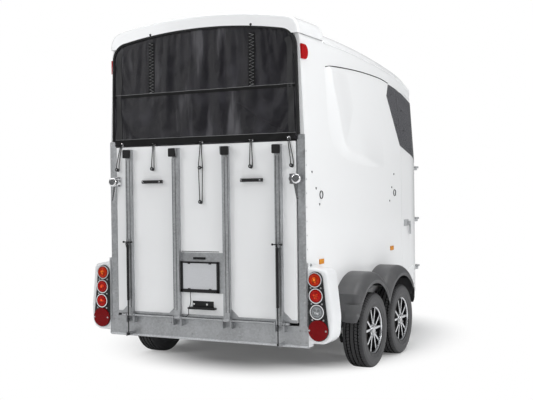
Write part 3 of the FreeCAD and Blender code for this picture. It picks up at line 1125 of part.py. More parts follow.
leaves, butts = [], []
for name, height in (("low", "door_hinge_low"), ("middle", "door_hinge_middle"), ("high", "door_hinge_high")):
    lower, upper = (f"{height} - door_leaf_tall - 1", f"{height} - 1"), (height, f"{height} + door_leaf_tall")
    strap = box(f"leaf_strap_{name}", ("door_pin_out - 15", "door_pin_out + 5"),
                ("door_pin_along - 95", "door_pin_along"), lower)
    barrel = rod(f"leaf_barrel_{name}", "z", "door_pin_out", "door_pin_along", lower, "door_barrel")
    bore = rod(f"leaf_bore_{name}", "z", "door_pin_out", "door_pin_along",
               (f"{height} - 2 * door_leaf_tall", f"{height} + door_leaf_tall"), "door_pin_radius + running_gap")
    leaves.append(cut(f"leaf_{name}", fuse(f"leaf_solid_{name}", cut(f"leaf_cut_{name}", strap, body_form), barrel),
                      bore))
    arm = box(f"butt_arm_{name}", ("door_pin_out - 65", "door_pin_out + 5"), ("door_pin_along", "door_pin_along + 65"),
              upper)
    knuckle = rod(f"butt_knuckle_{name}", "z", "door_pin_out", "door_pin_along", upper, "door_barrel")
    pin = rod(f"butt_pin_{name}", "z", "door_pin_out", "door_pin_along",
              (f"{height} - door_leaf_tall - 1", f"{height} + door_leaf_tall"), "door_pin_radius")
    butts.append(fuse(f"butt_{name}", cut(f"butt_cut_{name}", arm, body_form), knuckle, pin))
keep(group("leaves", *leaves), "door_hinge_leaves")
keep(group("butts", *butts), "door_hinge_butts")
HANDLE_TOP = "(handle_low + handle_tall)"
HANDLE_FRONT = "(handle_rear + handle_long)"
keep(fuse("handle",
          box("handle_back", ("body_half", "body_half + handle_grip / 2"), ("handle_rear", HANDLE_FRONT),
              (f"{HANDLE_TOP} - handle_plate_tall", HANDLE_TOP)),
          box("handle_arm", ("body_half", "body_half + handle_proud"), (f"{HANDLE_FRONT} - handle_plate", HANDLE_FRONT),
              (f"{HANDLE_TOP} - handle_plate", f"{HANDLE_TOP} - handle_grip")),
          box("handle_lever", ("body_half + handle_proud - handle_grip", "body_half + handle_proud"),
              (f"{HANDLE_FRONT} - handle_grip", HANDLE_FRONT), ("handle_low", f"{HANDLE_TOP} - handle_grip"))),
     "door_handle")

# Coupling, overrun device, handbrake and jockey wheel.

SHAFT = "ball_height"
housing = box("housing_block", ("-housing_half", "housing_half"), (f"{ARM_TIP} - housing_long", f"{ARM_TIP} - 20"),
              (RAIL_LOW, f"{SHAFT} + 40"))
housing = cut("housing_bored", housing,
              rod("housing_wide", "y", "0", (f"{ARM_TIP} - 240", f"{ARM_TIP} - 40"), SHAFT, "shaft_radius + 5"),
              rod("housing_bore", "y", "0", (f"{ARM_TIP} - 240", f"{ARM_TIP} + 40"), SHAFT,
                  "shaft_radius + running_gap"))
lever = fuse("lever", box("lever_arm", ("-housing_half - 22", "-housing_half - 8"),
                          (f"{ARM_TIP} - 200", f"{ARM_TIP} - 170"), (f"{RAIL_LOW} + 40", f"{SHAFT} + lever_tall")),
             box("lever_foot", ("-housing_half - 22", "-housing_half"), (f"{ARM_TIP} - 200", f"{ARM_TIP} - 160"),
                 (f"{RAIL_LOW} + 20", f"{RAIL_LOW} + 60")),
             rod("lever_grip", "z", "-housing_half - 15", f"{ARM_TIP} - 185",
                 (f"{SHAFT} + lever_tall - 30", f"{SHAFT} + lever_tall + 80"), "lever_grip"))
keep(fuse("overrun", housing, lever), "overrun_housing")
HEAD_TOP = f"{SHAFT} + 36"
head = fuse("head_solid",
            box("head_block", ("-36", "36"), (f"{ARM_TIP} + 100", BALL), (f"{SHAFT} - 22", HEAD_TOP)),
            rod("head_round", "z", "0", BALL, (f"{SHAFT} - 20", f"{SHAFT} + 40"), "head_radius"))
ball = doc.addObject("Part::Sphere", "ball_room")
ball.setExpression("Radius", formula("ball_radius"))
place(ball, "0", BALL, SHAFT)
head = cut("head_cut", head, ball,
           rod("ball_entry", "z", "0", BALL, (f"{SHAFT} - 80", SHAFT), "ball_radius"))
shaft = cut("shaft", rod("shaft_full", "y", "0", (f"{ARM_TIP} - 230", f"{ARM_TIP} + 100"), SHAFT, "shaft_radius"),
            rod("shaft_hollow", "y", "0", (f"{ARM_TIP} - 226", f"{ARM_TIP} + 96"), SHAFT, "shaft_radius - 8"))
catch = fuse("catch", box("catch_grip", ("-14", "14"), (f"{ARM_TIP} + 190", f"{BALL} + 10"),
                          (f"{SHAFT} + 52", f"{SHAFT} + 66")),
             box("catch_foot", ("-14", "14"), (f"{BALL} - 60", f"{BALL} - 20"), (HEAD_TOP, f"{SHAFT} + 66")))
keep(fuse("coupling", head, shaft, catch), "coupling_head")

JOCKEY_Y = f"({BALL} - jockey_back)"
POST = ("jockey_out", JOCKEY_Y)
TUBE = ("jockey_low", "jockey_high")
sleeve = cut("sleeve", rod("sleeve_full", "z", *POST, TUBE, "jockey_tube"),
             rod("sleeve_bore", "z", *POST, ("jockey_low", "jockey_high - 10"), "jockey_stem + running_gap"))
clamp = cut("clamp", box("clamp_block", ("100", "jockey_out"), (f"{JOCKEY_Y} - 25", f"{JOCKEY_Y} + 25"),
                         (RAIL_LOW, f"{RAIL_LOW} + 60")),
            rod("clamp_bore", "z", *POST, TUBE, "jockey_tube"))
crank = fuse("crank", rod("crank_pin", "z", *POST, ("jockey_high", "jockey_high + 60"), "8"),
             box("crank_arm", ("jockey_out - 8", "jockey_out + 90"), (f"{JOCKEY_Y} - 8", f"{JOCKEY_Y} + 8"),
                 ("jockey_high + 60", "jockey_high + 72")),
             rod("crank_grip", "z", "jockey_out + 78", JOCKEY_Y, ("jockey_high + 72", "jockey_high + 162"), "12"))
keep(fuse("jockey_tube_with_clamp", sleeve, clamp, crank), "jockey_sleeve")

AXLE_Y = f"({JOCKEY_Y} - jockey_trail)"
cheek = box("fork_cheek", ("jockey_out + fork_half - 5", "jockey_out + fork_half"), (f"{AXLE_Y} - 18", f"{AXLE_Y} + 18"),
            (f"{JOCKEY} - 16", "jockey_low - 20"))
other = box("fork_other", ("jockey_out - fork_half", "jockey_out - fork_half + 5"), (f"{AXLE_Y} - 18", f"{AXLE_Y} + 18"),
            (f"{JOCKEY} - 16", "jockey_low - 20"))
keep(fuse("fork", cheek, other,
          box("fork_crown", ("jockey_out - fork_half", "jockey_out + fork_half"), (f"{AXLE_Y} - 20", f"{JOCKEY_Y} + 24"),
              ("jockey_low - 22", "jockey_low - 6")),
          rod("fork_stem", "z", *POST, ("jockey_low - 6", "jockey_low + 294"), "jockey_stem"),
          rod("fork_axle", "x", ("jockey_out - fork_half", "jockey_out + fork_half"), AXLE_Y, JOCKEY, "jockey_pin")),
     "jockey_fork")
wheel_half = [("jockey_half", "jockey_pin + running_gap"), ("jockey_half", "30"), ("10", "40"), ("10", "70"),
              ("jockey_half", "78"), ("jockey_half", "jockey_radius - 10"), ("jockey_half - 10", "jockey_radius")]
small_wheel = turned("small_wheel", wheel_half + other_side(wheel_half))
keep(place(small_wheel, "jockey_out", AXLE_Y, JOCKEY), "jockey_wheel")

# Inside: the partition between the two stalls, with a bar before and behind each horse.

sides = []
for name, along, drop in (("rear", "divider_rear", "bar_drop_rear"), ("front", "divider_front", "bar_drop_front")):
    post = rod(f"divider_{name}", "z", "0", along, ("deck_top", "deck_top + divider_tall"), "divider_radius")
    bar = rod(f"bar_{name}", "x", ("0", "body_half - wall"), along, f"bar_height - {drop}", "bar_radius")
    bore = rod(f"divider_bore_{name}", "z", "0", along, ("deck_top + 5", "deck_top + divider_tall - 5"),
               "divider_radius - 3")
    sides.append(cut(f"divider_cut_{name}", fuse(f"divider_solid_{name}", post, bar, mirrored(bar)), bore))
keep(group("dividers", *sides), "partition_frame")
keep(box("board", ("-board_half", "board_half"), ("divider_rear + divider_radius", "divider_front - divider_radius"),
         ("board_low", "board_high")), "partition_board")

os.makedirs("parts", exist_ok=True)
doc.recompute()
for item in doc.Objects:
    if {"Invalid", "Error"} & set(item.State):
        raise ValueError(f"{item.Label} could not be made: {item.State}")
for piece in finished:
    shape = piece.Shape
    if shape.isNull() or not shape.isValid():
        raise ValueError(f"{piece.Label} has no valid shape")
    print(piece.Label, len(shape.Solids), round(shape.Volume / 1e6, 2))
for piece in finished:
    piece.Shape.exportStep(f"parts/{piece.Label}.step")
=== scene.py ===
# %% [markdown]
# # A horse trailer, dressed over its CAD frame
# The CAD model brings every rigid part at its true place, in metres. This lesson gives each of those
# parts a finish and adds what the drawing leaves out: trim on the moulded walls, a mesh curtain with
# its straps, elastic loops, lamp lenses, tyre tread, bolts and screws.

# %% Load the frame
import math

import bmesh
import bpy
from mathutils import Matrix, Vector
from mathutils.bvhtree import BVHTree


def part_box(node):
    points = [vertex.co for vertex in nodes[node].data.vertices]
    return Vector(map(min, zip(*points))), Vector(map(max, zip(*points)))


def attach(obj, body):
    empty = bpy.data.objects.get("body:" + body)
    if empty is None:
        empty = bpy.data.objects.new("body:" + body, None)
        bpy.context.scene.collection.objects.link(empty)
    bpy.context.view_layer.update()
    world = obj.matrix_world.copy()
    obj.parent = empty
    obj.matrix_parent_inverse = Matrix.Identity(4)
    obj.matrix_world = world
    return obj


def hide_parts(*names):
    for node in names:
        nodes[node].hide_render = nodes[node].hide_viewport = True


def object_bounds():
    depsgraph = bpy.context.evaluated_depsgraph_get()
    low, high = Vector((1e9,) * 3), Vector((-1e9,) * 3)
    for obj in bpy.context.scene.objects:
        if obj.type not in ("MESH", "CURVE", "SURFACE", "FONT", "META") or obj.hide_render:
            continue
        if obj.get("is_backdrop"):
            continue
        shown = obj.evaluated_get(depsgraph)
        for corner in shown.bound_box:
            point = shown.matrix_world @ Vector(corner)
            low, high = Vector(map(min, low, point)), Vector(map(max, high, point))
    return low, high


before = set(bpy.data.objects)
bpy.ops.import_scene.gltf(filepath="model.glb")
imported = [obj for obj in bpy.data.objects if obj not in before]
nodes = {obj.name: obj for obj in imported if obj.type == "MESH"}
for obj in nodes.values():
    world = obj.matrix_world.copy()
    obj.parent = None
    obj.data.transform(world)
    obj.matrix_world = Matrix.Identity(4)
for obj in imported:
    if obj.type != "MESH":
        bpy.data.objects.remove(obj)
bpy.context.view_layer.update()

# %% [markdown]
# ## Places
# Most sizes are read from the frame, so the dressing follows the drawing. The rear plane is the back
# of the moulded body, and it and the level just above the ground are where the photograph was
# measured from. A point on the trailer is written as millimetres to the right, ahead of the rear
# plane and above that level.

# %% Shared places
MM = 0.001
GROUND_GAP = 0.020
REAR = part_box("side_walls")[0].y
AHEAD, BACK, DOWN = Vector((0, 1, 0)), Vector((0, -1, 0)), Vector((0, 0, -1))
SIDES = (1, -1)


def at(x, y, z):
    """A point given in millimetres from the centre line, the rear plane and the height datum."""
    return Vector((x * MM, REAR + y * MM, z * MM + GROUND_GAP))


print("rear plane", round(REAR, 4))

# %% [markdown]
# ## The camera
# A camera fitted to the photograph stands behind the trailer and to its right, at about eye height. Its
# lens is a short telephoto, which keeps the far wheel nearly as large as the near one.

# %% Camera
CAMERA_YAW = 0.4725
CAMERA_PITCH = -0.0117
CAMERA_ROLL = -0.0133
CAMERA_LENS = 61.2
CAMERA_PLACE = (3868, -6419, 1524)


def new_object(name, data):
    """A new object in the scene, at the origin."""
    obj = bpy.data.objects.new(name, data)
    bpy.context.scene.collection.objects.link(obj)
    return obj


def photo_camera():
    """The photograph's camera, turned by its yaw, pitch and roll."""
    data = bpy.data.cameras.new("photo_camera")
    data.lens = CAMERA_LENS
    data.sensor_width = 36.0
    data.clip_end = 200.0
    camera = new_object("photo_camera", data)
    camera.matrix_world = (Matrix.Translation(at(*CAMERA_PLACE)) @ Matrix.Rotation(CAMERA_YAW, 4, "Z")
                           @ Matrix.Rotation(math.pi / 2 + CAMERA_PITCH, 4, "X")
                           @ Matrix.Rotation(CAMERA_ROLL, 4, "Z"))
    return camera


bpy.context.scene.camera = photo_camera()
bpy.context.scene.view_settings.view_transform = "Standard"

# %% [markdown]
# ## Writing a finish as sums
# A material is a graph of nodes. Written out node by node it is hard to read, so a small class wraps
# one socket and lets Python's own signs add the Math nodes. Another class holds a material and makes
# any other node from its type, its settings and its sockets.

# %% Sockets as sums


class Flow:
    """A value in a material that can be used in a sum."""

    def __init__(self, finish, socket):
        self.finish, self.socket = finish, socket

    def math(self, operation, *others, first=None):
        values = [self, *others] if first is None else [first, self]
        return self.finish.node("ShaderNodeMath", {"operation": operation}, dict(enumerate(values)))

    def __add__(self, other): return self.math("ADD", other)
    def __radd__(self, other): return self.math("ADD", other)
    def __sub__(self, other): return self.math("SUBTRACT", other)
    def __rsub__(self, other): return self.math("SUBTRACT", first=other)
    def __mul__(self, other): return self.math("MULTIPLY", other)
    def __pow__(self, other): return self.math("POWER", other)
    def above(self, edge): return self.math("GREATER_THAN", edge)
    def below(self, edge): return self.math("LESS_THAN", edge)
    def sine(self): return self.math("SINE")
    def size(self): return self.math("ABSOLUTE")
    def wave(self, pitch): return (self * (math.tau / pitch)).sine()

    def ramp(self, low, high, to_low=0.0, to_high=1.0):
        """The value taken from one range to another and held at its ends."""
        return self.finish.node("ShaderNodeMapRange", {"clamp": True, "interpolation_type": "SMOOTHSTEP"},
                                {"Value": self, "From Min": low, "From Max": high, "To Min": to_low,
                                 "To Max": to_high})


class Finish:
    """A procedural material around one Principled shader."""

    def __init__(self, name, **sockets):
        self.material = bpy.data.materials.new(name)
        self.material.use_nodes = True
        self.tree = self.material.node_tree
        self.shader = self.tree.nodes["Principled BSDF"]
        self.set(**sockets)

    def join(self, socket, value):
        if isinstance(value, Flow):
            self.tree.links.new(value.socket, socket)
        elif hasattr(socket.default_value, "__len__"):
            size = len(socket.default_value)
            socket.default_value = (tuple(value) + (1.0,))[:size]
        else:
            socket.default_value = value

    def set(self, **sockets):
        for name, value in sockets.items():
            self.join(self.shader.inputs[name.replace("_", " ")], value)
        return self

    def node(self, kind, settings=None, sockets=None, output=0):
        """Any node: its type, its settings, and the values or links of its sockets."""
        made = self.tree.nodes.new(kind)
        for key, value in (settings or {}).items():
            setattr(made, key, value)
        for key, value in (sockets or {}).items():
            self.join(made.inputs[key], value)
        return Flow(self, made.outputs[output])

    def place(self, offset=(0, 0, 0)):
        """Object coordinates measured from a centre, as a vector."""
        spot = self.node("ShaderNodeTexCoord", output="Object")
        return self.node("ShaderNodeVectorMath", {"operation": "SUBTRACT"}, {0: spot, 1: offset})

    def split(self, vector):
        """A vector's three numbers."""
        split = self.tree.nodes.new("ShaderNodeSeparateXYZ")
        self.join(split.inputs[0], vector)
        return [Flow(self, socket) for socket in split.outputs]

    def axes(self, offset=(0, 0, 0)):
        """The object coordinates as three numbers."""
        return self.split(self.place(offset))

    def noise(self, scale, detail=3.0, stretch=(1, 1, 1)):
        spot = self.node("ShaderNodeVectorMath", {"operation": "MULTIPLY"}, {0: self.place(), 1: stretch})
        return self.node("ShaderNodeTexNoise", {}, {"Vector": spot, "Scale": scale, "Detail": detail})

    def cells(self, scale, output="Color"):
        return self.node("ShaderNodeTexVoronoi", {}, {"Vector": self.place(), "Scale": scale}, output)

    def blend(self, amount, first, second):
        """A colour between two colours."""
        return self.node("ShaderNodeMix", {"data_type": "RGBA"}, {"Factor": amount, 6: first, 7: second}, 2)

    def facing(self, axis):
        """How far a face looks along an axis, from -1 to 1."""
        return self.split(self.node("ShaderNodeNewGeometry", output="True Normal"))["XYZ".index(axis)]

    def bump(self, height, distance, strength=1.0, under=None):
        sockets = {"Height": height, "Distance": distance, "Strength": strength}
        if under is not None:
            sockets["Normal"] = under
        return self.node("ShaderNodeBump", {}, sockets)


def cover(finish, *names):
    """Gives CAD nodes a finish."""
    for name in names:
        mesh = nodes[name].data
        mesh.materials.clear()
        mesh.materials.append(finish.material)


# %% [markdown]
# ## White moulded walls
# The walls, nose, roof and hood are glass-fibre mouldings with a white gel coat. Gel coat is a glossy
# plastic that is never quite flat, so the finish has a slow ripple under a fine one, and the lowest
# part of the walls is a little darker, in patches.

# %% Gel coat


def shade(colour, share):
    """A colour made darker or paler."""
    return tuple(share * part for part in colour)


def gel_coat(name, colour, roughness, low_darkening=0.4):
    finish = Finish(name, Roughness=roughness, Coat_Weight=0.25, Coat_Roughness=0.06, IOR=1.5)
    height = finish.axes()[2]
    # The colour grows darker towards the bottom of the walls, in patches.
    film = height.ramp(0.40, 0.95, 1.0, 0.0) * finish.noise(6.0, 4.0).ramp(0.35, 0.75)
    finish.set(Base_Color=finish.blend(film * low_darkening, colour, shade(colour, 0.9)),
               Roughness=roughness + film * 0.12 + finish.noise(3.0) * 0.04)
    slow = finish.bump(finish.noise(1.4, 1.0), 0.004, 0.10)
    finish.set(Normal=finish.bump(finish.noise(420.0, 2.0), 0.0002, 0.25, slow))
    return finish


WHITE = (0.90, 0.905, 0.91)
wall_coat = gel_coat("white_gel_coat", WHITE, 0.22)
cover(wall_coat, "side_walls", "nose_shell", "roof_shell", "roof_hood", "door_panel")
cover(gel_coat("lamp_housing_coat", (0.80, 0.81, 0.82), 0.3, 0.15), "lamp_housings")
cover(gel_coat("ramp_facing", (0.885, 0.89, 0.895), 0.34), "ramp_panel")

# %% [markdown]
# ## Galvanised steel
# Zinc freezes on the steel as crystals that catch the light at different angles. A Voronoi pattern
# gives each crystal its own grey and its own gloss, and a stretched noise adds the dull streaks that
# run down a post.

# %% Galvanised steel


def galvanised(name, scale=70.0, tone=0.42):
    finish = Finish(name, Metallic=0.85, Roughness=0.42)
    crystal = finish.node("ShaderNodeSeparateColor", {}, {0: finish.cells(scale)})
    streak = finish.noise(9.0, 5.0, (1.0, 1.0, 0.18)).ramp(0.30, 0.75)
    bright = tuple(tone * part for part in (1.22, 1.25, 1.28))
    dull = tuple(tone * part for part in (0.80, 0.81, 0.83))
    colour = finish.blend(crystal * 0.55 + streak * 0.45, dull, bright)
    finish.set(Base_Color=colour, Roughness=0.34 + crystal * 0.16 + streak * 0.08)
    finish.set(Normal=finish.bump(finish.noise(160.0, 4.0), 0.0004, 0.35))
    return finish


zinc = galvanised("galvanised_steel", tone=0.43)
cover(zinc, "rear_beam", "rear_posts", "ramp_frame", "rear_brackets", "chassis_rails", "drawbar", "axle_rear",
      "axle_front", "jockey_sleeve", "jockey_fork", "partition_frame")

# %% [markdown]
# ## Black plastic and rubber
# Mudguards, grips, knobs and lamp carriers are grained black plastic. Under soft light such plastic is
# a dark grey with a broad sheen, and its grain is finer than a millimetre. The mudguards' undersides lie
# in their own shade, so the faces that look down are darkened.

# %% Black plastics


def worn(name, spots, amount, colour, spent, roughness, rougher, grain, **sockets):
    """A colour that is spent in spots, with a fine grain.

    The spots are (noise scale, detail, low edge, high edge), the grain is (noise, height, strength).
    """
    finish = Finish(name, Roughness=roughness, **sockets)
    mask = finish.noise(*spots[:2]).ramp(*spots[2:])
    finish.set(Base_Color=finish.blend(mask * amount, colour, spent), Roughness=roughness + mask * rougher,
               Normal=finish.bump(finish.noise(*grain[0]), *grain[1:]))
    return finish


def black_plastic(name, tone, roughness, grain=0.0003, sheen=0.22):
    return worn(name, (11.0, 4.0, 0.35, 0.8), 0.5, (tone, tone, tone * 1.04), (tone * 1.5,) * 3, roughness,
                0.1, ((900.0, 2.0), grain, 0.6), IOR=1.48, Specular_IOR_Level=sheen)


guard_plastic = black_plastic("mudguard_plastic", 0.078, 0.34, 0.0003, 0.5)
underside = guard_plastic.facing("Z").ramp(-0.30, -0.05, 1.0, 0.0)
outside_tone = Flow(guard_plastic, guard_plastic.shader.inputs["Base Color"].links[0].from_socket)
guard_plastic.set(Base_Color=guard_plastic.blend(underside, outside_tone, (0.004, 0.004, 0.004)))
cover(guard_plastic, "mudguards")
grip_plastic = black_plastic("grip_plastic", 0.02, 0.38)
cover(grip_plastic, "ramp_handles", "ramp_knobs", "lamp_carriers", "plate_frame", "plate_lamp")
seal_rubber = black_plastic("seal_rubber", 0.016, 0.6)
cover(seal_rubber, "curtain_edge")
mat_rubber = black_plastic("rubber_mat", 0.03, 0.8, 0.0012)
cover(mat_rubber, "floor")
cover(black_plastic("wheel_rubber", 0.03, 0.6), "jockey_wheel")

# %% [markdown]
# ## Painted and plated metal
# The coupling, the overrun housing and the ramp's gas struts are black, the door's hinges and handle are
# pale grey, the ramp's latches and the lamps' rings are plated, and the brake drums are bare castings.

# %% Painted and plated metal


def painted_metal(name, colour, roughness):
    return worn(name, (24.0, 5.0, 0.62, 0.75), 0.4, colour, shade(colour, 2.2), roughness, 0.2,
                ((300.0,), 0.0003, 0.3), Coat_Weight=0.05, Coat_Roughness=0.15, Specular_IOR_Level=0.3)


def plated(name, tone, roughness):
    return worn(name, (30.0, 4.0, 0.4, 0.8), 1.0, (tone, tone, tone * 1.02), (tone * 0.86,) * 3, roughness,
                0.08, ((90.0,), 0.0002, 0.2), Metallic=1.0)


STRUT_PARTS = [f"strut_{part}_{side}" for part in ("cylinder", "rod") for side in ("left", "right")]
black_paint = painted_metal("black_paint", (0.008, 0.008, 0.009), 0.35)
cover(black_paint, *STRUT_PARTS, "overrun_housing", "coupling_head")
pale_paint = painted_metal("pale_paint", (0.42, 0.43, 0.44), 0.35)
cover(pale_paint, "door_hinge_leaves", "door_hinge_butts", "door_handle")
def mottled(name, noise, dark, light, grain=None, **sockets):
    """A plain finish that wanders between two tones, with a grain of (noise, height, strength)."""
    finish = Finish(name, **sockets)
    finish.set(Base_Color=finish.blend(finish.noise(*noise), dark, light))
    if grain:
        finish.set(Normal=finish.bump(finish.noise(*grain[0]), *grain[1:]))
    return finish


chrome = plated("bright_plating", 0.86, 0.09)
cover(chrome, "lamp_rings", "ramp_latches")
WHEEL_NAMES = [f"{end}_{side}" for end in ("rear", "front") for side in ("left", "right")]
cast = mottled("cast_iron", (20.0, 5.0), (0.05, 0.045, 0.04), (0.13, 0.12, 0.11), ((220.0, 4.0), 0.0008, 0.6),
               Metallic=0.6, Roughness=0.6)
cover(cast, *["drum_" + name for name in WHEEL_NAMES])
board = mottled("padded_board", (14.0,), (0.09, 0.10, 0.11), (0.13, 0.14, 0.15), ((400.0, 2.0), 0.0004, 0.5),
                Roughness=0.55)
cover(board, "partition_board")

# %% [markdown]
# ## Lamps, plate and windows
# The windows are tinted acrylic: dark grey, very smooth and a little see-through, with a painted reflection
# where a face looks ahead. The number plate is left blank, as a sheet of bright film with a faint
# honeycomb. The side reflectors are amber and prismatic, with a small painted glow.

# %% Windows, plate and reflectors
tint = Finish("tinted_acrylic", Roughness=0.06, IOR=1.6, Coat_Weight=1.0, Coat_Roughness=0.04)
ahead = tint.facing("Y")
# Painted reflection: faces that look partly ahead are painted lighter.
painted_sky_reflection = ahead.ramp(0.02, 0.50) * ahead.ramp(0.70, 1.0, 1.0, 0.15)
tint.set(Base_Color=tint.blend(painted_sky_reflection, (0.080, 0.080, 0.090), (0.24, 0.25, 0.26)), Alpha=0.97,
         Normal=tint.bump(tint.noise(1.2, 1.0), 0.003, 0.05))
cover(tint, "door_window", "nose_windows")
film = Finish("plate_film", Metallic=0.35, Roughness=0.4)
film.set(Base_Color=film.blend(film.cells(260.0, "Distance"), (0.55, 0.56, 0.58), (0.72, 0.73, 0.75)),
         Normal=film.bump(film.cells(260.0, "Distance"), 0.0003, 0.4))
cover(film, "number_plate")


PRISMS, FACETS = 260.0, 48.0


def lens_finish(name, colour, reflected_core=None, glow=0.22):
    """A moulded lens: clear colour over small prisms, a painted reflection in the core where the bulb sits,
    and a painted glow.
    """
    # Emission_Strength is a painted glow: the lamps and reflectors are not lit.
    finish = Finish(name, Roughness=0.16, Coat_Weight=0.03, Specular_IOR_Level=0.2, IOR=1.4,
                    Emission_Strength=glow)
    prism = finish.cells(PRISMS, "Distance")
    tinted = finish.blend(prism.ramp(0.0, 0.6), colour, shade(colour, 0.45))
    if reflected_core:
        share = finish.node("ShaderNodeAttribute", {"attribute_name": "share"}, output="Fac")
        # Painted reflection: brighter patches in the core stand for light in the lamp's reflector; the facets
        # and the rim are made darker.
        reflection_patches = finish.noise(55.0, 2.0).ramp(0.40, 0.62)
        inside = share.ramp(0.05, 0.55, 1.0, 0.0)
        facet = finish.cells(FACETS, "Distance").ramp(0.42, 0.58)
        tinted = finish.blend(inside * (0.15 + reflection_patches * 0.85), tinted, reflected_core)
        tinted = finish.blend(share.below(0.62) * facet * 0.7, tinted, shade(colour, 0.22))
        tinted = finish.blend(share.ramp(0.66, 0.98) * 0.8, tinted, shade(colour, 0.12))
    finish.set(Base_Color=tinted, Emission_Color=tinted, Normal=finish.bump(prism, 0.0008, 0.35))
    return finish


RED, AMBER, CLEAR = (0.60, 0.006, 0.008), (0.95, 0.36, 0.02), (0.50, 0.52, 0.54)
cover(lens_finish("amber_lens", AMBER), "side_reflectors")
cover(lens_finish("red_lens", RED), "lamp_lenses", "marker_lamps")

# %% [markdown]
# ## Wheels
# The rims are cast alloy, black in the recesses and machined bright on the spokes' outer face and on a
# ring at the edge. Distances from the wheel's own centre say which is which, and give the fine rings that
# the lathe leaves.

# %% Rim finish
SPOKE_FACE, SPOKE_REACH, EDGE_RING = (0.0712, 0.0717), (0.018, 0.187), (0.1885, 0.198)


def wheel_middle(name):
    low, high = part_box("tyre_" + name)
    return (low + high) / 2


def rim_finish(name):
    middle = wheel_middle(name)
    outward = math.copysign(1.0, middle.x)
    finish = Finish("cast_alloy_" + name, Metallic=0.9, Roughness=0.25, Coat_Weight=0.3)
    x, y, z = finish.axes(middle)
    radius = (y * y + z * z) ** 0.5
    spokes = (x * outward).ramp(*SPOKE_FACE) * radius.above(SPOKE_REACH[0]) * radius.below(SPOKE_REACH[1])
    bright = spokes + radius.above(EDGE_RING[0]) * radius.below(EDGE_RING[1])
    lathe = (radius * 2400.0).sine() * 0.5 + 0.5
    finish.set(Base_Color=finish.blend(bright, (0.012, 0.012, 0.013), (0.70, 0.71, 0.73)),
               Metallic=0.2 + bright * 0.75, Roughness=0.28 - bright * 0.06 + lathe * 0.05,
               Normal=finish.bump(lathe * bright, 0.0001, 0.2))
    return finish


for name in WHEEL_NAMES:
    cover(rim_finish(name), "rim_" + name)

# %% [markdown]
# ## Building meshes
# Most of the dressing is made of rows of points that are skinned with faces: a lens is a profile
# turned about an axis, a moulding is a section carried along a path, a strap is a narrow grid. One
# class keeps such points and faces, so each piece after it takes only a few lines.

# %% A mesh builder


def hand_over(name, mesh, body):
    """Makes a finished mesh a piece that rides on a body."""
    print(name, len(mesh.polygons), "faces")
    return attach(new_object(name, mesh), body)


class Shape:
    """A mesh that grows row by row, with a finish for each face."""

    def __init__(self):
        self.points, self.faces, self.finish = [], [], []

    def skin(self, rows, finish=0, closed=False, ends=False):
        """Skins rows of points. closed joins each row's end to its start, ends fills the outer rows."""
        start, width = len(self.points), len(rows[0])
        self.points += [Vector(point) for row in rows for point in row]
        for row in range(len(rows) - 1):
            for i in range(width if closed else width - 1):
                j = (i + 1) % width
                low, high = start + row * width, start + (row + 1) * width
                self.faces.append((low + i, low + j, high + j, high + i))
                self.finish.append(finish)
        if ends:
            self.faces.append(tuple(reversed(range(start, start + width))))
            last = start + (len(rows) - 1) * width
            self.faces.append(tuple(range(last, last + width)))
            self.finish += [finish, finish]
        return self

    def lathe(self, base, axis, profile, sides=24):
        """Turns a profile of (distance along the axis, radius) about an axis through a base point."""
        axis = Vector(axis).normalized()
        across = axis.orthogonal().normalized()
        around = axis.cross(across)
        turns = [math.tau * i / sides for i in range(sides)]
        rows = [[base + axis * along + (across * math.cos(turn) + around * math.sin(turn)) * radius
                 for turn in turns] for along, radius in profile]
        return self.skin(rows, closed=True, ends=True)

    def block(self, low, high):
        """A plain block between two corners, for plates and brackets that get rounded edges."""
        ring = [(low[0], low[1]), (high[0], low[1]), (high[0], high[1]), (low[0], high[1])]
        return self.skin([[(x, y, z) for x, y in ring] for z in (low[2], high[2])], closed=True, ends=True)

    def build(self, name, finishes, body="trailer", bevel=0.0, smooth=40.0):
        """Makes the object, merges what meets, turns the faces outwards and smooths the gentle edges."""
        mesh = bpy.data.meshes.new(name)
        mesh.from_pydata(self.points, [], self.faces)
        for face, finish in zip(mesh.polygons, self.finish):
            face.material_index = finish
        work = bmesh.new()
        work.from_mesh(mesh)
        bmesh.ops.remove_doubles(work, verts=work.verts, dist=0.00002)
        bmesh.ops.recalc_face_normals(work, faces=work.faces)
        if bevel:
            sharp = [edge for edge in work.edges
                     if len(edge.link_faces) == 2 and edge.calc_face_angle() > 0.6]
            bmesh.ops.bevel(work, geom=sharp, offset=bevel, segments=2, affect="EDGES", clamp_overlap=True)
        work.to_mesh(mesh)
        work.free()
        for finish in finishes:
            mesh.materials.append(finish.material)
        mesh.shade_smooth()
        mesh.set_sharp_from_angle(angle=math.radians(smooth))
        return hand_over(name, mesh, body)


# %% [markdown]
# ## Finding the walls
# The mouldings curve in two directions, so a trim piece can't be placed by sums alone. Rays are sent
# at the CAD meshes instead: from the side for a point on a wall, from above for the roof's height, and
# towards the middle of the nose for a line that goes round the front.

# %% Rays at the moulded body


def search_tree(*pieces):
    """One search tree over several pieces: CAD nodes by their names, or an object."""
    corners, faces = [], []
    for piece in pieces:
        mesh, start = (nodes[piece] if isinstance(piece, str) else piece).data, len(corners)
        corners += [vertex.co.copy() for vertex in mesh.vertices]
        faces += [[start + i for i in face.vertices] for face in mesh.polygons]
    return BVHTree.FromPolygons(corners, faces)


walls = search_tree("side_walls", "nose_shell", "roof_shell", "door_panel", "nose_windows", "door_window")


def on_side(y, z, side=1):
    """The wall's point and outward direction at a length and a height, on one side."""
    point, normal, *_ = walls.ray_cast(at(side * 2000, y, z), Vector((-side, 0, 0)))
    return point, normal * (1 if normal.x * side > 0 else -1)


def height_of(tree, x, y):
    """The height above the datum where a ray from above meets a tree, in millimetres."""
    point, *_ = tree.ray_cast(at(x, y, 4000), DOWN)
    return (point.z - GROUND_GAP) / MM


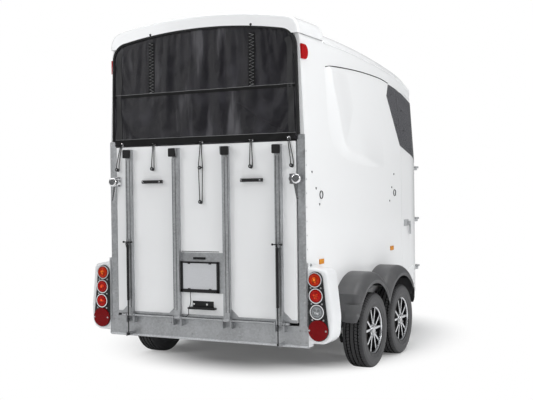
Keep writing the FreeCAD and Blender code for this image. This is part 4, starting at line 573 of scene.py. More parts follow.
def roof_height(y): return height_of(walls, 0, y)


NOSE_CENTRE_X, NOSE_CENTRE_Y, ROOF_END = 130.0, 2606, 3300.0
GIRDLE_STEP, NOSE_STEPS = 60, 18


def girdle(drop, start):
    """Points and directions round the body, a distance under the roof's centre line, from right to left."""
    right = [(0.0, y, 1.0, 0.0) for y in range(start, NOSE_CENTRE_Y, GIRDLE_STEP)]
    right += [(NOSE_CENTRE_X, NOSE_CENTRE_Y, math.cos(turn), math.sin(turn))
              for turn in (math.pi / 2 * i / NOSE_STEPS for i in range(NOSE_STEPS + 1))]
    left = [(-x, y, -out_x, out_y) for x, y, out_x, out_y in reversed(right)]
    found = []
    for x, y, out_x, out_y in right + left:
        out, height = Vector((out_x, out_y, 0)), roof_height(y) - drop
        for attempt in range(5):
            point, normal, *_ = walls.ray_cast(at(x + out_x * 2500, y + out_y * 2500, height), -out)
            height = roof_height(min((point.y - REAR) / MM, ROOF_END)) - drop
        found.append((point, normal if normal.dot(out) > 0 else -normal))
    return found


print("roof at 1 m and 2.5 m:", round(roof_height(1000)), round(roof_height(2500)))

# %% [markdown]
# ## Beads with Geometry Nodes
# Seals, piping, welds and the lips of the mouldings are all the same thing: a round strip that follows
# a path. A small Geometry Nodes tree makes it from a curve, with its radius, its number of sides and
# its finish as inputs. Half of the bead lies in the surface that carries it.

# %% The bead tree


def tree_with(name, inputs):
    """An empty Geometry Nodes tree with named inputs, its way in and its way out."""
    tree = bpy.data.node_groups.new(name, "GeometryNodeTree")
    tree.interface.new_socket("Geometry", in_out="INPUT", socket_type="NodeSocketGeometry")
    tree.interface.new_socket("Geometry", in_out="OUTPUT", socket_type="NodeSocketGeometry")
    for label, kind, value in inputs:
        socket = tree.interface.new_socket(label, in_out="INPUT", socket_type="NodeSocket" + kind)
        if value is not None:
            socket.default_value = value
    return tree, tree.nodes.new("NodeGroupInput"), tree.nodes.new("NodeGroupOutput")


def step(tree, kind, settings=None, **sockets):
    """A node of a tree with its settings, and values or links for its sockets by name or as i0, i1, i2."""
    made = tree.nodes.new(kind)
    for key, value in (settings or {}).items():
        setattr(made, key, value)
    for key, value in sockets.items():
        socket = made.inputs[int(key[1:]) if key[1:].isdigit() else key.replace("_", " ")]
        if isinstance(value, bpy.types.NodeSocket):
            tree.links.new(value, socket)
        else:
            socket.default_value = value
    return made


def last_steps(tree, way_in, way_out, geometry):
    """Makes the geometry real, gives it the finish and leads it out."""
    real = step(tree, "GeometryNodeRealizeInstances", Geometry=geometry)
    finish = step(tree, "GeometryNodeSetMaterial", Geometry=real.outputs["Geometry"],
                  Material=way_in.outputs["Finish"])
    tree.links.new(finish.outputs["Geometry"], way_out.inputs["Geometry"])
    return tree


def bead_tree():
    tree, way_in, way_out = tree_with("bead", [
        ("Radius", "Float", 0.005), ("Sides", "Int", 10), ("Finish", "Material", None)])
    ring = step(tree, "GeometryNodeCurvePrimitiveCircle", Radius=way_in.outputs["Radius"],
                Resolution=way_in.outputs["Sides"])
    tube = step(tree, "GeometryNodeCurveToMesh", Curve=way_in.outputs["Geometry"],
                Profile_Curve=ring.outputs["Curve"], Fill_Caps=True)
    smooth = step(tree, "GeometryNodeSetShadeSmooth", Geometry=tube.outputs["Mesh"])
    return last_steps(tree, way_in, way_out, smooth.outputs["Geometry"])


def run_tree(obj, tree, values, name, body="trailer"):
    """Runs a tree on an object with values for its named inputs and keeps the result as a plain mesh."""
    modifier = obj.modifiers.new("build", "NODES")
    modifier.node_group = tree
    sockets = {item.name: item.identifier for item in tree.interface.items_tree
               if item.item_type == "SOCKET" and item.in_out == "INPUT"}
    for label, value in values.items():
        modifier[sockets[label]] = value
    shown = obj.evaluated_get(bpy.context.evaluated_depsgraph_get())
    mesh = bpy.data.meshes.new_from_object(shown)
    bpy.data.objects.remove(obj)
    mesh.name = name
    return hand_over(name, mesh, body)


def path_curve(name, paths, smooth=True, closed=False):
    """A curve object through one or more lists of points."""
    curve = bpy.data.curves.new(name, "CURVE")
    curve.dimensions = "3D"
    curve.resolution_u = 6
    for points in paths:
        spline = curve.splines.new("NURBS" if smooth else "POLY")
        spline.points.add(len(points) - 1)
        for spot, point in zip(spline.points, points):
            spot.co = (*point, 1.0)
        spline.use_cyclic_u = closed
        if smooth:
            spline.order_u = 3
            spline.use_endpoint_u = not closed
    return new_object(name, curve)


BEAD = bead_tree()


def bead(name, paths, radius, finish, body="trailer", sides=10, smooth=True, closed=False):
    """Round strips along paths, as one piece."""
    curve = path_curve(name + "_path", paths, smooth, closed)
    return run_tree(curve, BEAD, {"Radius": radius, "Sides": sides, "Finish": finish.material}, name, body)


# %% [markdown]
# ## Screws and bolts with Geometry Nodes
# Every fastener is a head on a washer that stands on a surface. The tree puts one at each point of a
# mesh and turns it to face the way that the point's own attribute says. Six sides give a hexagon bolt
# and sixteen a round screw.

# %% The fastener tree


def fastener_tree():
    tree, way_in, way_out = tree_with("fastener", [
        ("Radius", "Float", 0.006), ("Height", "Float", 0.004), ("Sides", "Int", 6),
        ("Washer", "Float", 0.010), ("Finish", "Material", None)])
    radius = way_in.outputs["Radius"]
    top = step(tree, "ShaderNodeMath", {"operation": "MULTIPLY"}, i0=radius, i1=0.8)
    head = step(tree, "GeometryNodeMeshCone", Vertices=way_in.outputs["Sides"], Radius_Top=top.outputs[0],
                Radius_Bottom=radius, Depth=way_in.outputs["Height"])
    washer = step(tree, "GeometryNodeMeshCylinder", Vertices=18, Radius=way_in.outputs["Washer"],
                  Depth=0.0024)
    both = step(tree, "GeometryNodeJoinGeometry")
    tree.links.new(head.outputs["Mesh"], both.inputs[0])
    tree.links.new(washer.outputs["Mesh"], both.inputs[0])
    facing = step(tree, "GeometryNodeInputNamedAttribute", {"data_type": "FLOAT_VECTOR"}, Name="facing")
    turn = step(tree, "FunctionNodeAlignRotationToVector", {"axis": "Z"}, Vector=facing.outputs["Attribute"])
    points = step(tree, "GeometryNodeMeshToPoints", Mesh=way_in.outputs["Geometry"])
    placed = step(tree, "GeometryNodeInstanceOnPoints", Points=points.outputs["Points"],
                  Instance=both.outputs["Geometry"], Rotation=turn.outputs["Rotation"])
    return last_steps(tree, way_in, way_out, placed.outputs["Instances"])


FASTENER = fastener_tree()


def fasteners(name, spots, radius, finish, body="trailer", height=0.004, sides=6, washer=None):
    """Heads at a list of (point, outward direction) pairs, as one piece."""
    mesh = bpy.data.meshes.new(name + "_spots")
    mesh.from_pydata([point for point, facing in spots], [], [])
    facing = mesh.attributes.new("facing", "FLOAT_VECTOR", "POINT")
    for item, (point, direction) in zip(facing.data, spots):
        item.vector = direction
    values = {"Radius": radius, "Height": height, "Sides": sides, "Washer": washer or radius * 1.6,
              "Finish": finish.material}
    return run_tree(new_object(name + "_spots", mesh), FASTENER, values, name, body)


# %% [markdown]
# ## Mouldings of the side walls
# A soft swoosh runs down behind the hood and forward along the side, where the wall steps out by about
# two fingers' width and then eases back. It could be carved with a sculpt brush. Here a thin skin lies
# on the wall instead, and its thickness is a sum: it climbs between two drawn lines and then fades.

# %% The swoosh


def along(points, steps=80):
    """Points at even steps on a smooth curve through drawn points of (length, height)."""
    line = [Vector((y, z)) for y, z in points]
    out = []
    for i in range(len(line) - 1):
        before, start, end, after = line[max(i - 1, 0)], line[i], line[i + 1], line[min(i + 2, len(line) - 1)]
        for k in range(steps // (len(line) - 1)):
            t = k / (steps // (len(line) - 1))
            out.append(0.5 * ((2 * start) + (end - before) * t
                              + (2 * before - 5 * start + 4 * end - after) * t * t
                              + (3 * start - before - 3 * end + after) * t ** 3))
    return out + [line[-1]]


OUTER_LINE = along([(430, 2640), (452, 2380), (454, 2054), (572, 1850), (823, 1770), (1289, 1715),
                    (1900, 1690)])
INNER_LINE = along([(560, 2640), (576, 2426), (668, 2193), (737, 1990), (829, 1869), (1150, 1810),
                    (1620, 1745), (2000, 1712)])
STEP_OUT, GRID = 25.0, 15
INNER_FADE, INNER_LIP, FRONT_FADE = (-60.0, 460.0), 70.0, (1150.0, 1900.0)
TOP_END, REAR_END = 2560, 400
LENGTHS, LEVELS = range(410, 1930, GRID), range(1680, 2580, GRID)


def nearest(line, spot):
    """The distance to a drawn line, and on which side of it a spot lies."""
    best, side = 1e9, 1.0
    for a, b in zip(line, line[1:]):
        run = b - a
        share = max(0.0, min(1.0, (spot - a).dot(run) / run.length_squared))
        gap = (a + run * share - spot).length
        if gap < best:
            best, side = gap, 1.0 if run.x * (spot.y - a.y) - run.y * (spot.x - a.x) > 0 else -1.0
    return best, side


def ease(low, high, value):
    share = max(0.0, min(1.0, (value - low) / (high - low)))
    return share * share * (3 - 2 * share)


def swoosh_height(y, z):
    """How far the moulding stands off the wall, in millimetres."""
    spot = Vector((y, z))
    outer_gap, outer_side = nearest(OUTER_LINE, spot)
    inner_gap, inner_side = nearest(INNER_LINE, spot)
    if outer_side < 0:
        return 0.0
    if inner_side < 0:
        rise = (outer_gap / (outer_gap + inner_gap)) ** 1.7
    else:
        lip = ease(*INNER_FADE, 0.0) * (1.0 - min(1.0, inner_gap / INNER_LIP))
        rise = 1.0 - ease(*INNER_FADE, inner_gap) + lip
    ends = ease(0.0, 60.0, TOP_END - z) * (1.0 - ease(*FRONT_FADE, y)) * ease(0.0, 40.0, y - REAR_END)
    return STEP_OUT * rise * ends


def swoosh(side, heights):
    shape, index = Shape(), {}
    for (y, z), rise in heights.items():
        point, normal = on_side(y, z, side)
        index[y, z] = len(shape.points)
        shape.points.append(point + normal * (rise - 0.9) * MM)
    for y in LENGTHS[:-1]:
        for z in LEVELS[:-1]:
            corners = [(y, z), (y + GRID, z), (y + GRID, z + GRID), (y, z + GRID)]
            if max(heights[corner] for corner in corners) > 0.05:
                shape.faces.append([index[corner] for corner in corners])
                shape.finish.append(0)
    return shape.build("side_moulding_" + ("right" if side > 0 else "left"), [wall_coat], smooth=60)


swoosh_heights = {(y, z): swoosh_height(y, z) for y in LENGTHS for z in LEVELS}
for side in SIDES:
    swoosh(side, swoosh_heights)

# %% [markdown]
# ## Lips and seals
# The roof moulding overlaps the walls with a rounded lip, and a black seal fills the groove under the
# hood's end and runs to the window's upper corner. The groom's door closes on a thin rubber seal. Each
# is a bead on a path found with rays, which follows the bulging walls better than a drawn curve would.

# %% Roof lip, groove and seals
lip = girdle(171, 470)
bead("roof_lip", [[point + normal * 0.001 for point, normal in lip]], 0.0085, wall_coat, sides=12)
GROOVE = [(480, 2530), (543, 2545), (800, 2562), (1256, 2578), (1703, 2573), (1900, 2562), (2012, 2545)]
bead("groove_seal", [[on_side(y, z, side)[0] for y, z in GROOVE] for side in SIDES], 0.0045, seal_rubber)
DOOR_REAR, DOOR_FRONT, DOOR_FOOT = 2310, 2923, 522
door_path = ([(DOOR_REAR, 1936 - 47 * i) for i in range(31)]
             + [(DOOR_REAR + 34 * i, DOOR_FOOT) for i in range(1, 19)]
             + [(DOOR_FRONT, DOOR_FOOT + 47 * i) for i in range(1, 30)])
bead("door_seal", [[on_side(y, z)[0] for y, z in door_path]], 0.003, seal_rubber, smooth=False, sides=8)

# %% [markdown]
# ## The mesh curtain
# A dark mesh curtain closes the space above the ramp. It is cut to the opening, held by a strip at its
# sides and top and by five elastic loops at its hem, so it hangs in slow folds. A cloth simulation
# finds those folds: the grid starts flat and is given a little more length than its frame.

# %% Curtain cloth
curtain_tree = search_tree("rear_curtain")
CLOTH_Y, CLOTH_LOW, CLOTH_CORNER = -14.0, 1912.0, 800.0
CLOTH_FRAMES, CLOTH_SWAY = 28, 0.011
EYELETS = [(x, 1930) for x in (-800, -467, 0, 467, 800)]


def curtain_edge(z):
    """Half the curtain's width at a height."""
    point, *_ = curtain_tree.ray_cast(at(2000, CLOTH_Y, z), Vector((-1, 0, 0)))
    return point.x / MM


def curtain_top(x): return height_of(curtain_tree, x, CLOTH_Y)


def curtain_flat(columns, rows):
    """The curtain's flat cut as a grid that follows its rounded outline."""
    corner_high = curtain_top(CLOTH_CORNER)
    foot = curtain_edge(CLOTH_LOW + 2)

    def bottom(s): return Vector(((2 * s - 1) * foot, CLOTH_LOW))
    def top(s): return Vector(((2 * s - 1) * CLOTH_CORNER, curtain_top((2 * s - 1) * CLOTH_CORNER)))

    def flank(v, side):
        height = CLOTH_LOW + v * (corner_high - CLOTH_LOW)
        return Vector((side * curtain_edge(min(max(height, CLOTH_LOW + 2), corner_high - 1)), height))

    grid = []
    for row in range(rows + 1):
        v = row / rows
        line = []
        for column in range(columns + 1):
            s = column / columns
            line.append((1 - v) * bottom(s) + v * top(s) + (1 - s) * flank(v, -1) + s * flank(v, 1)
                        - (1 - s) * (1 - v) * bottom(0) - s * (1 - v) * bottom(1)
                        - (1 - s) * v * top(0) - s * v * top(1))
        grid.append(line)
    return grid


def curtain_cloth(columns=84, rows=46):
    grid = curtain_flat(columns, rows)
    shape = Shape().skin([[at(spot.x, CLOTH_Y, spot.y) for spot in line] for line in grid])
    mesh = bpy.data.meshes.new("curtain_flat")
    mesh.from_pydata(shape.points, [], shape.faces)
    uv = mesh.uv_layers.new(name="cut")
    for loop, item in zip(mesh.loops, uv.data):
        item.uv = (shape.points[loop.vertex_index].x, shape.points[loop.vertex_index].z)
    area = sum(face.area for face in mesh.polygons)
    cloth = new_object("curtain_cloth", mesh)
    held = cloth.vertex_groups.new(name="held")
    edge = [i for i in range(len(mesh.vertices))
            if i % (columns + 1) in (0, columns) or i // (columns + 1) == rows]
    pinned = [min(range(len(mesh.vertices)), key=lambda i: (mesh.vertices[i].co - at(x, CLOTH_Y, z)).length)
              for x, z in EYELETS]
    held.add(edge + pinned, 1.0, "REPLACE")
    flat = [vertex.co.copy() for vertex in mesh.vertices]
    for i, vertex in enumerate(mesh.vertices):
        if i not in edge:
            vertex.co.y += 0.002 * math.sin(vertex.co.x * 13 + 1.0) * math.sin(vertex.co.z * 9)
    modifier = cloth.modifiers.new("cloth", "CLOTH")
    settings = modifier.settings
    settings.vertex_group_mass = "held"
    settings.quality = 6
    settings.mass = 0.25
    settings.tension_stiffness = settings.compression_stiffness = 12.0
    settings.shear_stiffness = 4.0
    settings.bending_stiffness = 0.6
    settings.shrink_min = -0.022
    modifier.point_cache.frame_end = CLOTH_FRAMES + 2
    for number in range(CLOTH_FRAMES):
        bpy.context.scene.frame_set(number + 1)
    shown = cloth.evaluated_get(bpy.context.evaluated_depsgraph_get())
    draped = bpy.data.meshes.new_from_object(shown)
    cloth.modifiers.clear()
    cloth.data = draped
    bpy.context.scene.frame_set(1)
    return cloth, flat, area


WEAVE = 0.0030


def mesh_finish():
    """Woven mesh: threads three millimetres apart with small gaps, patches of dust and painted highlight, and
    painted highlight streaks.
    """
    finish = Finish("curtain_mesh", Roughness=0.45, IOR=1.46, Specular_IOR_Level=0.4)
    u, v, *_ = finish.split(finish.node("ShaderNodeUVMap", {"uv_map": "cut"}))
    weave = u.wave(WEAVE) * v.wave(WEAVE)
    # Patches that are both dust and a painted highlight.
    dust_and_highlights = finish.noise(4.0, 6.0, (1.1, 1.0, 0.9)).ramp(0.45, 0.80)
    # Painted highlight streaks down the folds.
    highlight_streaks = finish.noise(3.0, 3.0, (3.4, 1.0, 0.55)).ramp(0.56, 0.76)
    cloth = finish.blend(dust_and_highlights * 0.8 + weave * 0.15, (0.008, 0.0072, 0.0105), (0.046, 0.044, 0.054))
    finish.set(Base_Color=finish.blend(highlight_streaks * 0.6, cloth, (0.14, 0.137, 0.15)),
               Roughness=0.30 + dust_and_highlights * 0.2, Alpha=0.90 + weave * 0.05)
    crumple = finish.bump(finish.noise(4.0, 5.0, (1.0, 1.0, 1.15)), 0.030, 1.0)
    finish.set(Normal=finish.bump(weave, 0.0004, 0.4, crumple))
    return finish


cloth, flat, cloth_area = curtain_cloth()
for vertex, start in zip(cloth.data.vertices, flat):
    vertex.co.z = max(vertex.co.z, at(0, 0, CLOTH_LOW - 8).z)
    vertex.co.y = start.y + CLOTH_SWAY * math.tanh((vertex.co.y - start.y) / CLOTH_SWAY)
cloth.data.materials.append(mesh_finish().material)
cloth.data.shade_smooth()
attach(cloth, "trailer")
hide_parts("rear_curtain")
print("curtain area", round(cloth_area, 3), "m2")

# %% [markdown]
# ## Bands, piping and eyelets
# A wide hem band stiffens the lower edge and a narrow band runs above the middle; the pale piping on
# their upper edges is a painted highlight. From the narrow band two stitched straps go up to the top, and
# a border closes each side, painted paler as a highlight. They are sewn to the cloth, so each band's
# points are found by rays at the cloth itself and it takes part in every fold. The eyelets are plated
# rings turned from a profile.

# %% Curtain bands
cloth_tree = search_tree(cloth)
band_cloth = black_plastic("curtain_band", 0.007, 0.62, 0.0006)
# The side border is paler than the cloth as a painted highlight.
border_highlight_cloth = black_plastic("curtain_border_highlight", 0.036, 0.5, 0.0006)
# The piping's pale colour is a painted highlight along the bands' edges.
piping_highlight = mottled("curtain_piping", (60.0,), (0.13, 0.13, 0.135), (0.24, 0.24, 0.245), Roughness=0.5)
thread = mottled("curtain_thread", (80.0,), (0.24, 0.24, 0.25), (0.34, 0.34, 0.35), Roughness=0.6)
BAND_HALF, BAND_FRONT, BAND_BACK = 27, 0.0036, 0.0012
STRAP_X, STITCH_HALF = 480, 20


def on_cloth(x, z, proud=0.0):
    """The cloth's point at a place on its front, or a little proud of it."""
    start = at(x, -400, z)
    point, *_ = cloth_tree.ray_cast(start, AHEAD)
    if point is None:
        near, *_ = cloth_tree.find_nearest(at(x, CLOTH_Y, z))
        point = Vector((start.x, near.y, start.z))
    return point + BACK * proud


def band(shape, line, half, finish=0):
    """A sewn band through (x, z) points, a few millimetres thick with the cloth inside it."""
    rows = []
    for i, (x, z) in enumerate(line):
        before, after = Vector(line[max(i - 1, 0)]), Vector(line[min(i + 1, len(line) - 1)])
        run = (after - before).normalized()
        side = Vector((-run.y, run.x)) * half
        spots = [on_cloth(x + side.x * share, z + side.y * share) for share in (-1, -0.5, 0, 0.5, 1)]
        rows.append([spot + BACK * BAND_FRONT for spot in spots]
                    + [spot + AHEAD * BAND_BACK for spot in spots[::-1]])
    return shape.skin(rows, finish, closed=True, ends=True)


bands = Shape()
band(bands, [(x, 1938) for x in range(-862, 863, 18)], BAND_HALF)
band(bands, [(x, 2335) for x in range(-858, 859, 22)], 12)
for x in (-STRAP_X, STRAP_X):
    band(bands, [(x, z) for z in range(2344, int(curtain_top(x)) - 30, 18)], BAND_HALF)
corner_height = int(curtain_top(CLOTH_CORNER))
for side in (-1, 1):
    border = [(side * (curtain_edge(z) - 46), z) for z in range(1972, corner_height - 30, 24)]
    band(bands, border, BAND_HALF, 1)
curtain_bands = bands.build("curtain_bands", [band_cloth, border_highlight_cloth], smooth=50)


def stitches(x):
    """A zigzag seam down a strap."""
    heights = range(2352, int(curtain_top(x)) - 34, 14)
    return [on_cloth(x + (STITCH_HALF if i % 2 else -STITCH_HALF), z, 0.0042) for i, z in enumerate(heights)]


seams = bead("curtain_seams", [stitches(-STRAP_X), stitches(STRAP_X)], 0.0022, thread, smooth=False, sides=6)
hem_piping_highlight = bead("curtain_piping", [[on_cloth(x, z, 0.0034) for x in range(-858, 859, 22)]
                                     for z in (1967, 2349)], 0.0019, piping_highlight, sides=8)
EYELET_SECTION = [(0, 0.005), (0, 0.016), (0.0045, 0.0168), (0.0066, 0.0140), (0.0066, 0.0085),
                  (0.0045, 0.0058), (0.001, 0.005)]
rings = Shape()
for x, z in EYELETS:
    rings.lathe(on_cloth(x, z - 8, -0.002), BACK, EYELET_SECTION)
eyelets = rings.build("curtain_eyelets", [chrome])

# %% [markdown]
# ## Elastic loops
# An elastic cord runs from each eyelet down round the neck of a knob on the ramp and back up. It is
# taut, so each loop is a narrow curve, drawn with a few route points: the two ends in the eyelet, the
# two sides of the neck and the turn below it.

# %% Loops
elastic = black_plastic("elastic_cord", 0.014, 0.55, 0.0004)
LOOPS = [(-800, -832, 1710), (-467, -470, 1710), (0, 0, 1429), (467, 470, 1710), (800, 832, 1710)]
NECK, NECK_Y = 11.5, -34.0


def line_length(curve):
    """The length of a curve object's own line, which has no thickness yet."""
    line = bpy.data.meshes.new_from_object(curve)
    spots = [vertex.co for vertex in line.vertices]
    return sum((spots[a] - spots[b]).length for a, b in (edge.vertices for edge in line.edges))


def cord(name, route, radius, finish, detail=6, body="trailer", **says):
    """A round cord along a route, with the length of its line printed."""
    obj = path_curve(name, [route])
    obj.data.resolution_u = detail
    length = line_length(obj)
    obj.data.bevel_depth, obj.data.bevel_resolution = radius, 3
    obj.data.materials.append(finish.material)
    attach(obj, body)
    print(name, "length", round(length, 3), "m")


def loop(number, top_x, knob_x, knob_z):
    """One loop, as its left half from the eyelet down to the knob and the same points on the other side."""
    def half(side):
        end = on_cloth(top_x, 1922, 0.0085) + Vector((side * 0.0052, 0, 0))
        bend = end.lerp(at(knob_x + side * NECK, NECK_Y, knob_z), 0.10) + BACK * 0.004
        wide = [at(side * 19, -36, z) for z in (1740, 1690)] if top_x == 0 else []
        knob = [(NECK + 1, 45), (NECK + 1, -4), (7, -15)]
        return [end, bend, *wide] + [at(knob_x + side * x, NECK_Y, knob_z + z) for x, z in knob]

    route = half(-1) + half(1)[::-1]
    cord(f"elastic_loop_{number}", route, 0.0035, elastic, 10, stiffness="limp", lay="taut")


for number, places in enumerate(LOOPS, 1):
    loop(number, *places)

# %% [markdown]
# ## Lamps
# Each small lamp is a domed lens in a bright ring. Its colour is moulded in and rings of small prisms
# inside the dome break up the light. The dome is a profile turned about the lamp's axis, with the
# prisms as steps. The reflector below them is flat and has no ring.

# %% Lamp lenses
# The core colours are painted reflections, and every glow value is a painted glow.
orange_lens = lens_finish("orange_red_lens", (0.80, 0.040, 0.006), reflected_core=(1.0, 0.30, 0.03))
deep_lens = lens_finish("deep_red_lens", (0.70, 0.014, 0.010), reflected_core=(1.0, 0.12, 0.03))
bulb_lens = lens_finish("clear_bulb_lens", CLEAR, reflected_core=(0.95, 0.96, 0.97), glow=0.05)
reflex_red = lens_finish("reflector_red", (0.30, 0.002, 0.005), glow=0.12)
SMALL_LAMPS, PRISM_RINGS = [(1011, 820), (1019, 695.4), (1027, 570.8)], 9


def dome(name, x, z, radius, bulge, finish):
    """A lens with a rim, a shallow dome and rings of prisms, and its share of the radius at each point."""
    profile = [(-0.002, radius), (0.010, radius), (0.0135, radius - 0.0015), (0.0145, radius - 0.005)]
    for k in range(PRISM_RINGS):
        outer = (radius - 0.006) * (1 - k / PRISM_RINGS)
        inner = (radius - 0.006) * (1 - (k + 0.82) / PRISM_RINGS)
        swell = bulge * (1 - (outer / radius) ** 2)
        profile += [(0.0140 + swell, outer), (0.0152 + swell, outer * 0.5 + inner * 0.5),
                    (0.0140 + swell, inner)]
    profile.append((0.014 + bulge, 0.00002))
    piece = Shape().lathe(at(x, -22, z), BACK, profile, 40).build(name, [finish], smooth=60)
    share = piece.data.attributes.new("share", "FLOAT", "POINT")
    middle = at(x, 0, z)
    for item, vertex in zip(share.data, piece.data.vertices):
        item.value = math.hypot(vertex.co.x - middle.x, vertex.co.z - middle.z) / radius
    return piece


LENS_KINDS = {1: (orange_lens, deep_lens, bulb_lens), -1: (orange_lens, deep_lens, deep_lens)}
for side, word in ((1, "right"), (-1, "left")):
    for number, ((x, z), kind) in enumerate(zip(SMALL_LAMPS, LENS_KINDS[side]), 1):
        dome(f"lens_{word}_{number}", side * x, z, 0.052, 0.005, kind)
    dome(f"reflector_{word}", side * 1033, 427, 0.081, 0.0, reflex_red)
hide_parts("lamp_lenses")

screw_steel = plated("screw_steel", 0.55, 0.3)


def rear_spots(y, *places):
    """Spots that look back, at (x, z) places on both sides."""
    return [(at(side * x, y, z), BACK) for side in SIDES for x, z in places]


lamp_screws = rear_spots(-23, (972, 757), (1058, 757), (978, 632), (1066, 632), (984, 508), (1078, 508))
fasteners("lamp_screws", lamp_screws, 0.0045, screw_steel, height=0.003, sides=14)
reflector_screws = rear_spots(-38, (963, 427), (1103, 427))
fasteners("reflector_screws", reflector_screws, 0.0045, screw_steel, height=0.002, sides=14)
fasteners("pod_bolts", rear_spots(20, (958, 930)), 0.007, zinc, height=0.005)

# %% [markdown]
# ## Number plate and its lamp
# A bezel with small clips holds the plate and a finger catch sits above it. The lamp below has two pale
# screws, and its cable leaves the frame and hangs to the beam in a loose curve. The plate itself is left
# blank. The hooked tops of the ribs carry rubber buffers, thin dark beads paint the shade on the side
# faces of the ribs' folded sheet, and a dark bolt goes through each strut's eye.

# %% Plate details
plate, BEZEL = Shape(), (-34.5, -27.5)
BEZEL_PARTS = [(-210, 680, -188, 934), (136, 680, 156, 934), (-210, 680, 156, 708), (-210, 922, 156, 934),
               (-140, 915, -116, 926), (62, 915, 86, 926), (-140, 704, -116, 714), (62, 704, 86, 714)]
plate.block(at(-88, -30, 953), at(28, -24, 972))
plate.block(at(-72, -34, 958), at(12, -29, 967))
for left, low, right, high in BEZEL_PARTS:
    plate.block(at(left, BEZEL[0], low), at(right, BEZEL[1], high))
plate.block(at(-206, -22.5, 1016), at(158, -19.5, 1021))
plate.build("plate_bezel_and_catch", [grip_plastic], body="ramp", bevel=0.0015)
buffers, RIBS = Shape(), (-712, -250, 250, 712)
for x in RIBS:
    buffers.block(at(x - 33, -90, 1806), at(x + 33, -60, 1876))
buffers.build("rib_buffers", [seal_rubber], body="ramp", bevel=0.004)
frame_tree = search_tree("ramp_frame")


def rib_line(x):
    """The rib's front from its foot to its hooked top, where the sheet is folded."""
    return [frame_tree.ray_cast(at(x, -400, z), AHEAD)[0] for z in range(530, 1800, 60)]


# Dark beads beside each rib: painted shade on the sheet's folded side faces.
bead("rib_folds", [rib_line(rib + x) for rib in RIBS for x in (-15, 15)], 0.0024,
     galvanised("painted_shade_zinc", tone=0.10), body="ramp", sides=8)
BOLT_SECTION = [(0, 0.0005), (0, 0.008), (0.010, 0.009), (0.012, 0.0045), (0.080, 0.0045), (0.082, 0.009),
                (0.092, 0.008), (0.092, 0.0005)]
joints = Shape()
for x in (-712, 712):
    joints.lathe(at(x - 46, -77, 1091), (1, 0, 0), BOLT_SECTION, 20)
joints.build("strut_top_bolts", [grip_plastic], body="ramp")
pale_plastic = mottled("pale_plastic", (40.0,), (0.62, 0.62, 0.62), (0.72, 0.72, 0.72), Roughness=0.4)
fasteners("plate_lamp_screws", [(at(x, -66, 590), BACK) for x in (-62, 62)], 0.007, pale_plastic, body="ramp",
          height=0.002, sides=16, washer=0.008)
fasteners("plate_corner_screws", [(at(x, -32, z), BACK) for x in (-203, 149) for z in (688, 926)], 0.0035,
          screw_steel, body="ramp", height=0.002, sides=14)
CABLE = [(-112, -34, 684), (-114, -40, 655), (-104, -44, 610), (-112, -47, 570), (-132, -44, 530),
         (-128, -40, 500), (-158, -36, 476), (-205, -30, 462), (-232, -24, 474)]
cord("plate_lamp_cable", [at(*spot) for spot in CABLE], 0.003, grip_plastic, body="ramp", stiffness="medium",
     lay="loose")

# %% [markdown]
# ## Handles, rivets and bolts
# Each grab handle is screwed down at its ends. The corner posts are riveted to the walls, the beam is
# bolted to the chassis, and the window and the hood have small screws. The spots are lists of places, and
# the fastener tree sets a head on each. A folded lip closes the beam's lower edge, in a brighter zinc that
# is a painted highlight along the fold.

# %% Fasteners
hood_tree = search_tree("roof_hood")


def on_face(tree, x, z):
    """The point and direction where a ray from behind meets a tree."""
    point, normal, *_ = tree.ray_cast(at(x, -600, z), AHEAD)
    return point, (normal if normal.y < 0 else -normal)


handles = search_tree("ramp_handles")
handle_screws = [(on_face(handles, side * (475 + dx), 1600)[0], BACK) for side in SIDES for dx in (-84, 84)]
fasteners("handle_screws", handle_screws, 0.0065, chrome, body="ramp", height=0.003, sides=16, washer=0.0085)
knob_caps = [(at(x, -55, 1710), BACK) for x in (-832, -470, 0, 470, 832)] + [(at(0, -55, 1429), BACK)]
fasteners("knob_caps", knob_caps, 0.005, screw_steel, body="ramp", height=0.0015, sides=14, washer=0.0056)
posts = search_tree("rear_posts", "side_walls")
post_rivets = [on_face(posts, side * 915, z) for side in SIDES for z in range(520, 1930, 117)]
fasteners("post_rivets", post_rivets, 0.005, screw_steel, height=0.003, sides=14)
side_rivets = [on_side(18, z, side) for side in SIDES for z in range(500, 1930, 110)]
fasteners("post_side_rivets", side_rivets, 0.0045, screw_steel, height=0.0025, sides=14)
beam = search_tree("rear_beam")
BEAM_SPOTS = [(918, 408), (918, 322), (868, 412), (868, 318), (640, 312), (790, 312), (690, 420), (742, 420),
              (330, 330), (120, 330), (330, 410)]
fasteners("beam_bolts", [on_face(beam, side * x, z) for side in SIDES for x, z in BEAM_SPOTS], 0.0075, zinc,
          height=0.005)
# The lip's brighter zinc is a painted highlight along the folded edge.
lip = Shape().block(at(-944, -11, 283), at(944, -5, 301))
lip.build("beam_lip", [galvanised("highlight_zinc", 90.0, 0.62)], bevel=0.0025)
dark_screw = black_plastic("dark_screw", 0.02, 0.35)
WINDOW_SCREWS = [(2100, 2440), (2205, 2150), (2374, 2303), (2421, 2105), (2600, 1910)]
window_screws = [on_side(y, z, side) for side in SIDES for y, z in WINDOW_SCREWS]
fasteners("window_screws", window_screws, 0.006, dark_screw, height=0.003, sides=16)
hood_screws = [on_face(hood_tree, side * STRAP_X, curtain_top(STRAP_X) + 26) for side in SIDES]
fasteners("hood_screws", hood_screws, 0.0065, dark_screw, height=0.006, sides=16)
ramp_skin = search_tree("ramp_panel", "ramp_frame")
rib_rivets = [on_face(ramp_skin, side * x, z) for side in SIDES for x in (250, 712)
              for z in (1840, 1500, 1180, 860, 540)]
fasteners("rib_rivets", rib_rivets, 0.0045, screw_steel, body="ramp", height=0.0025, sides=14)

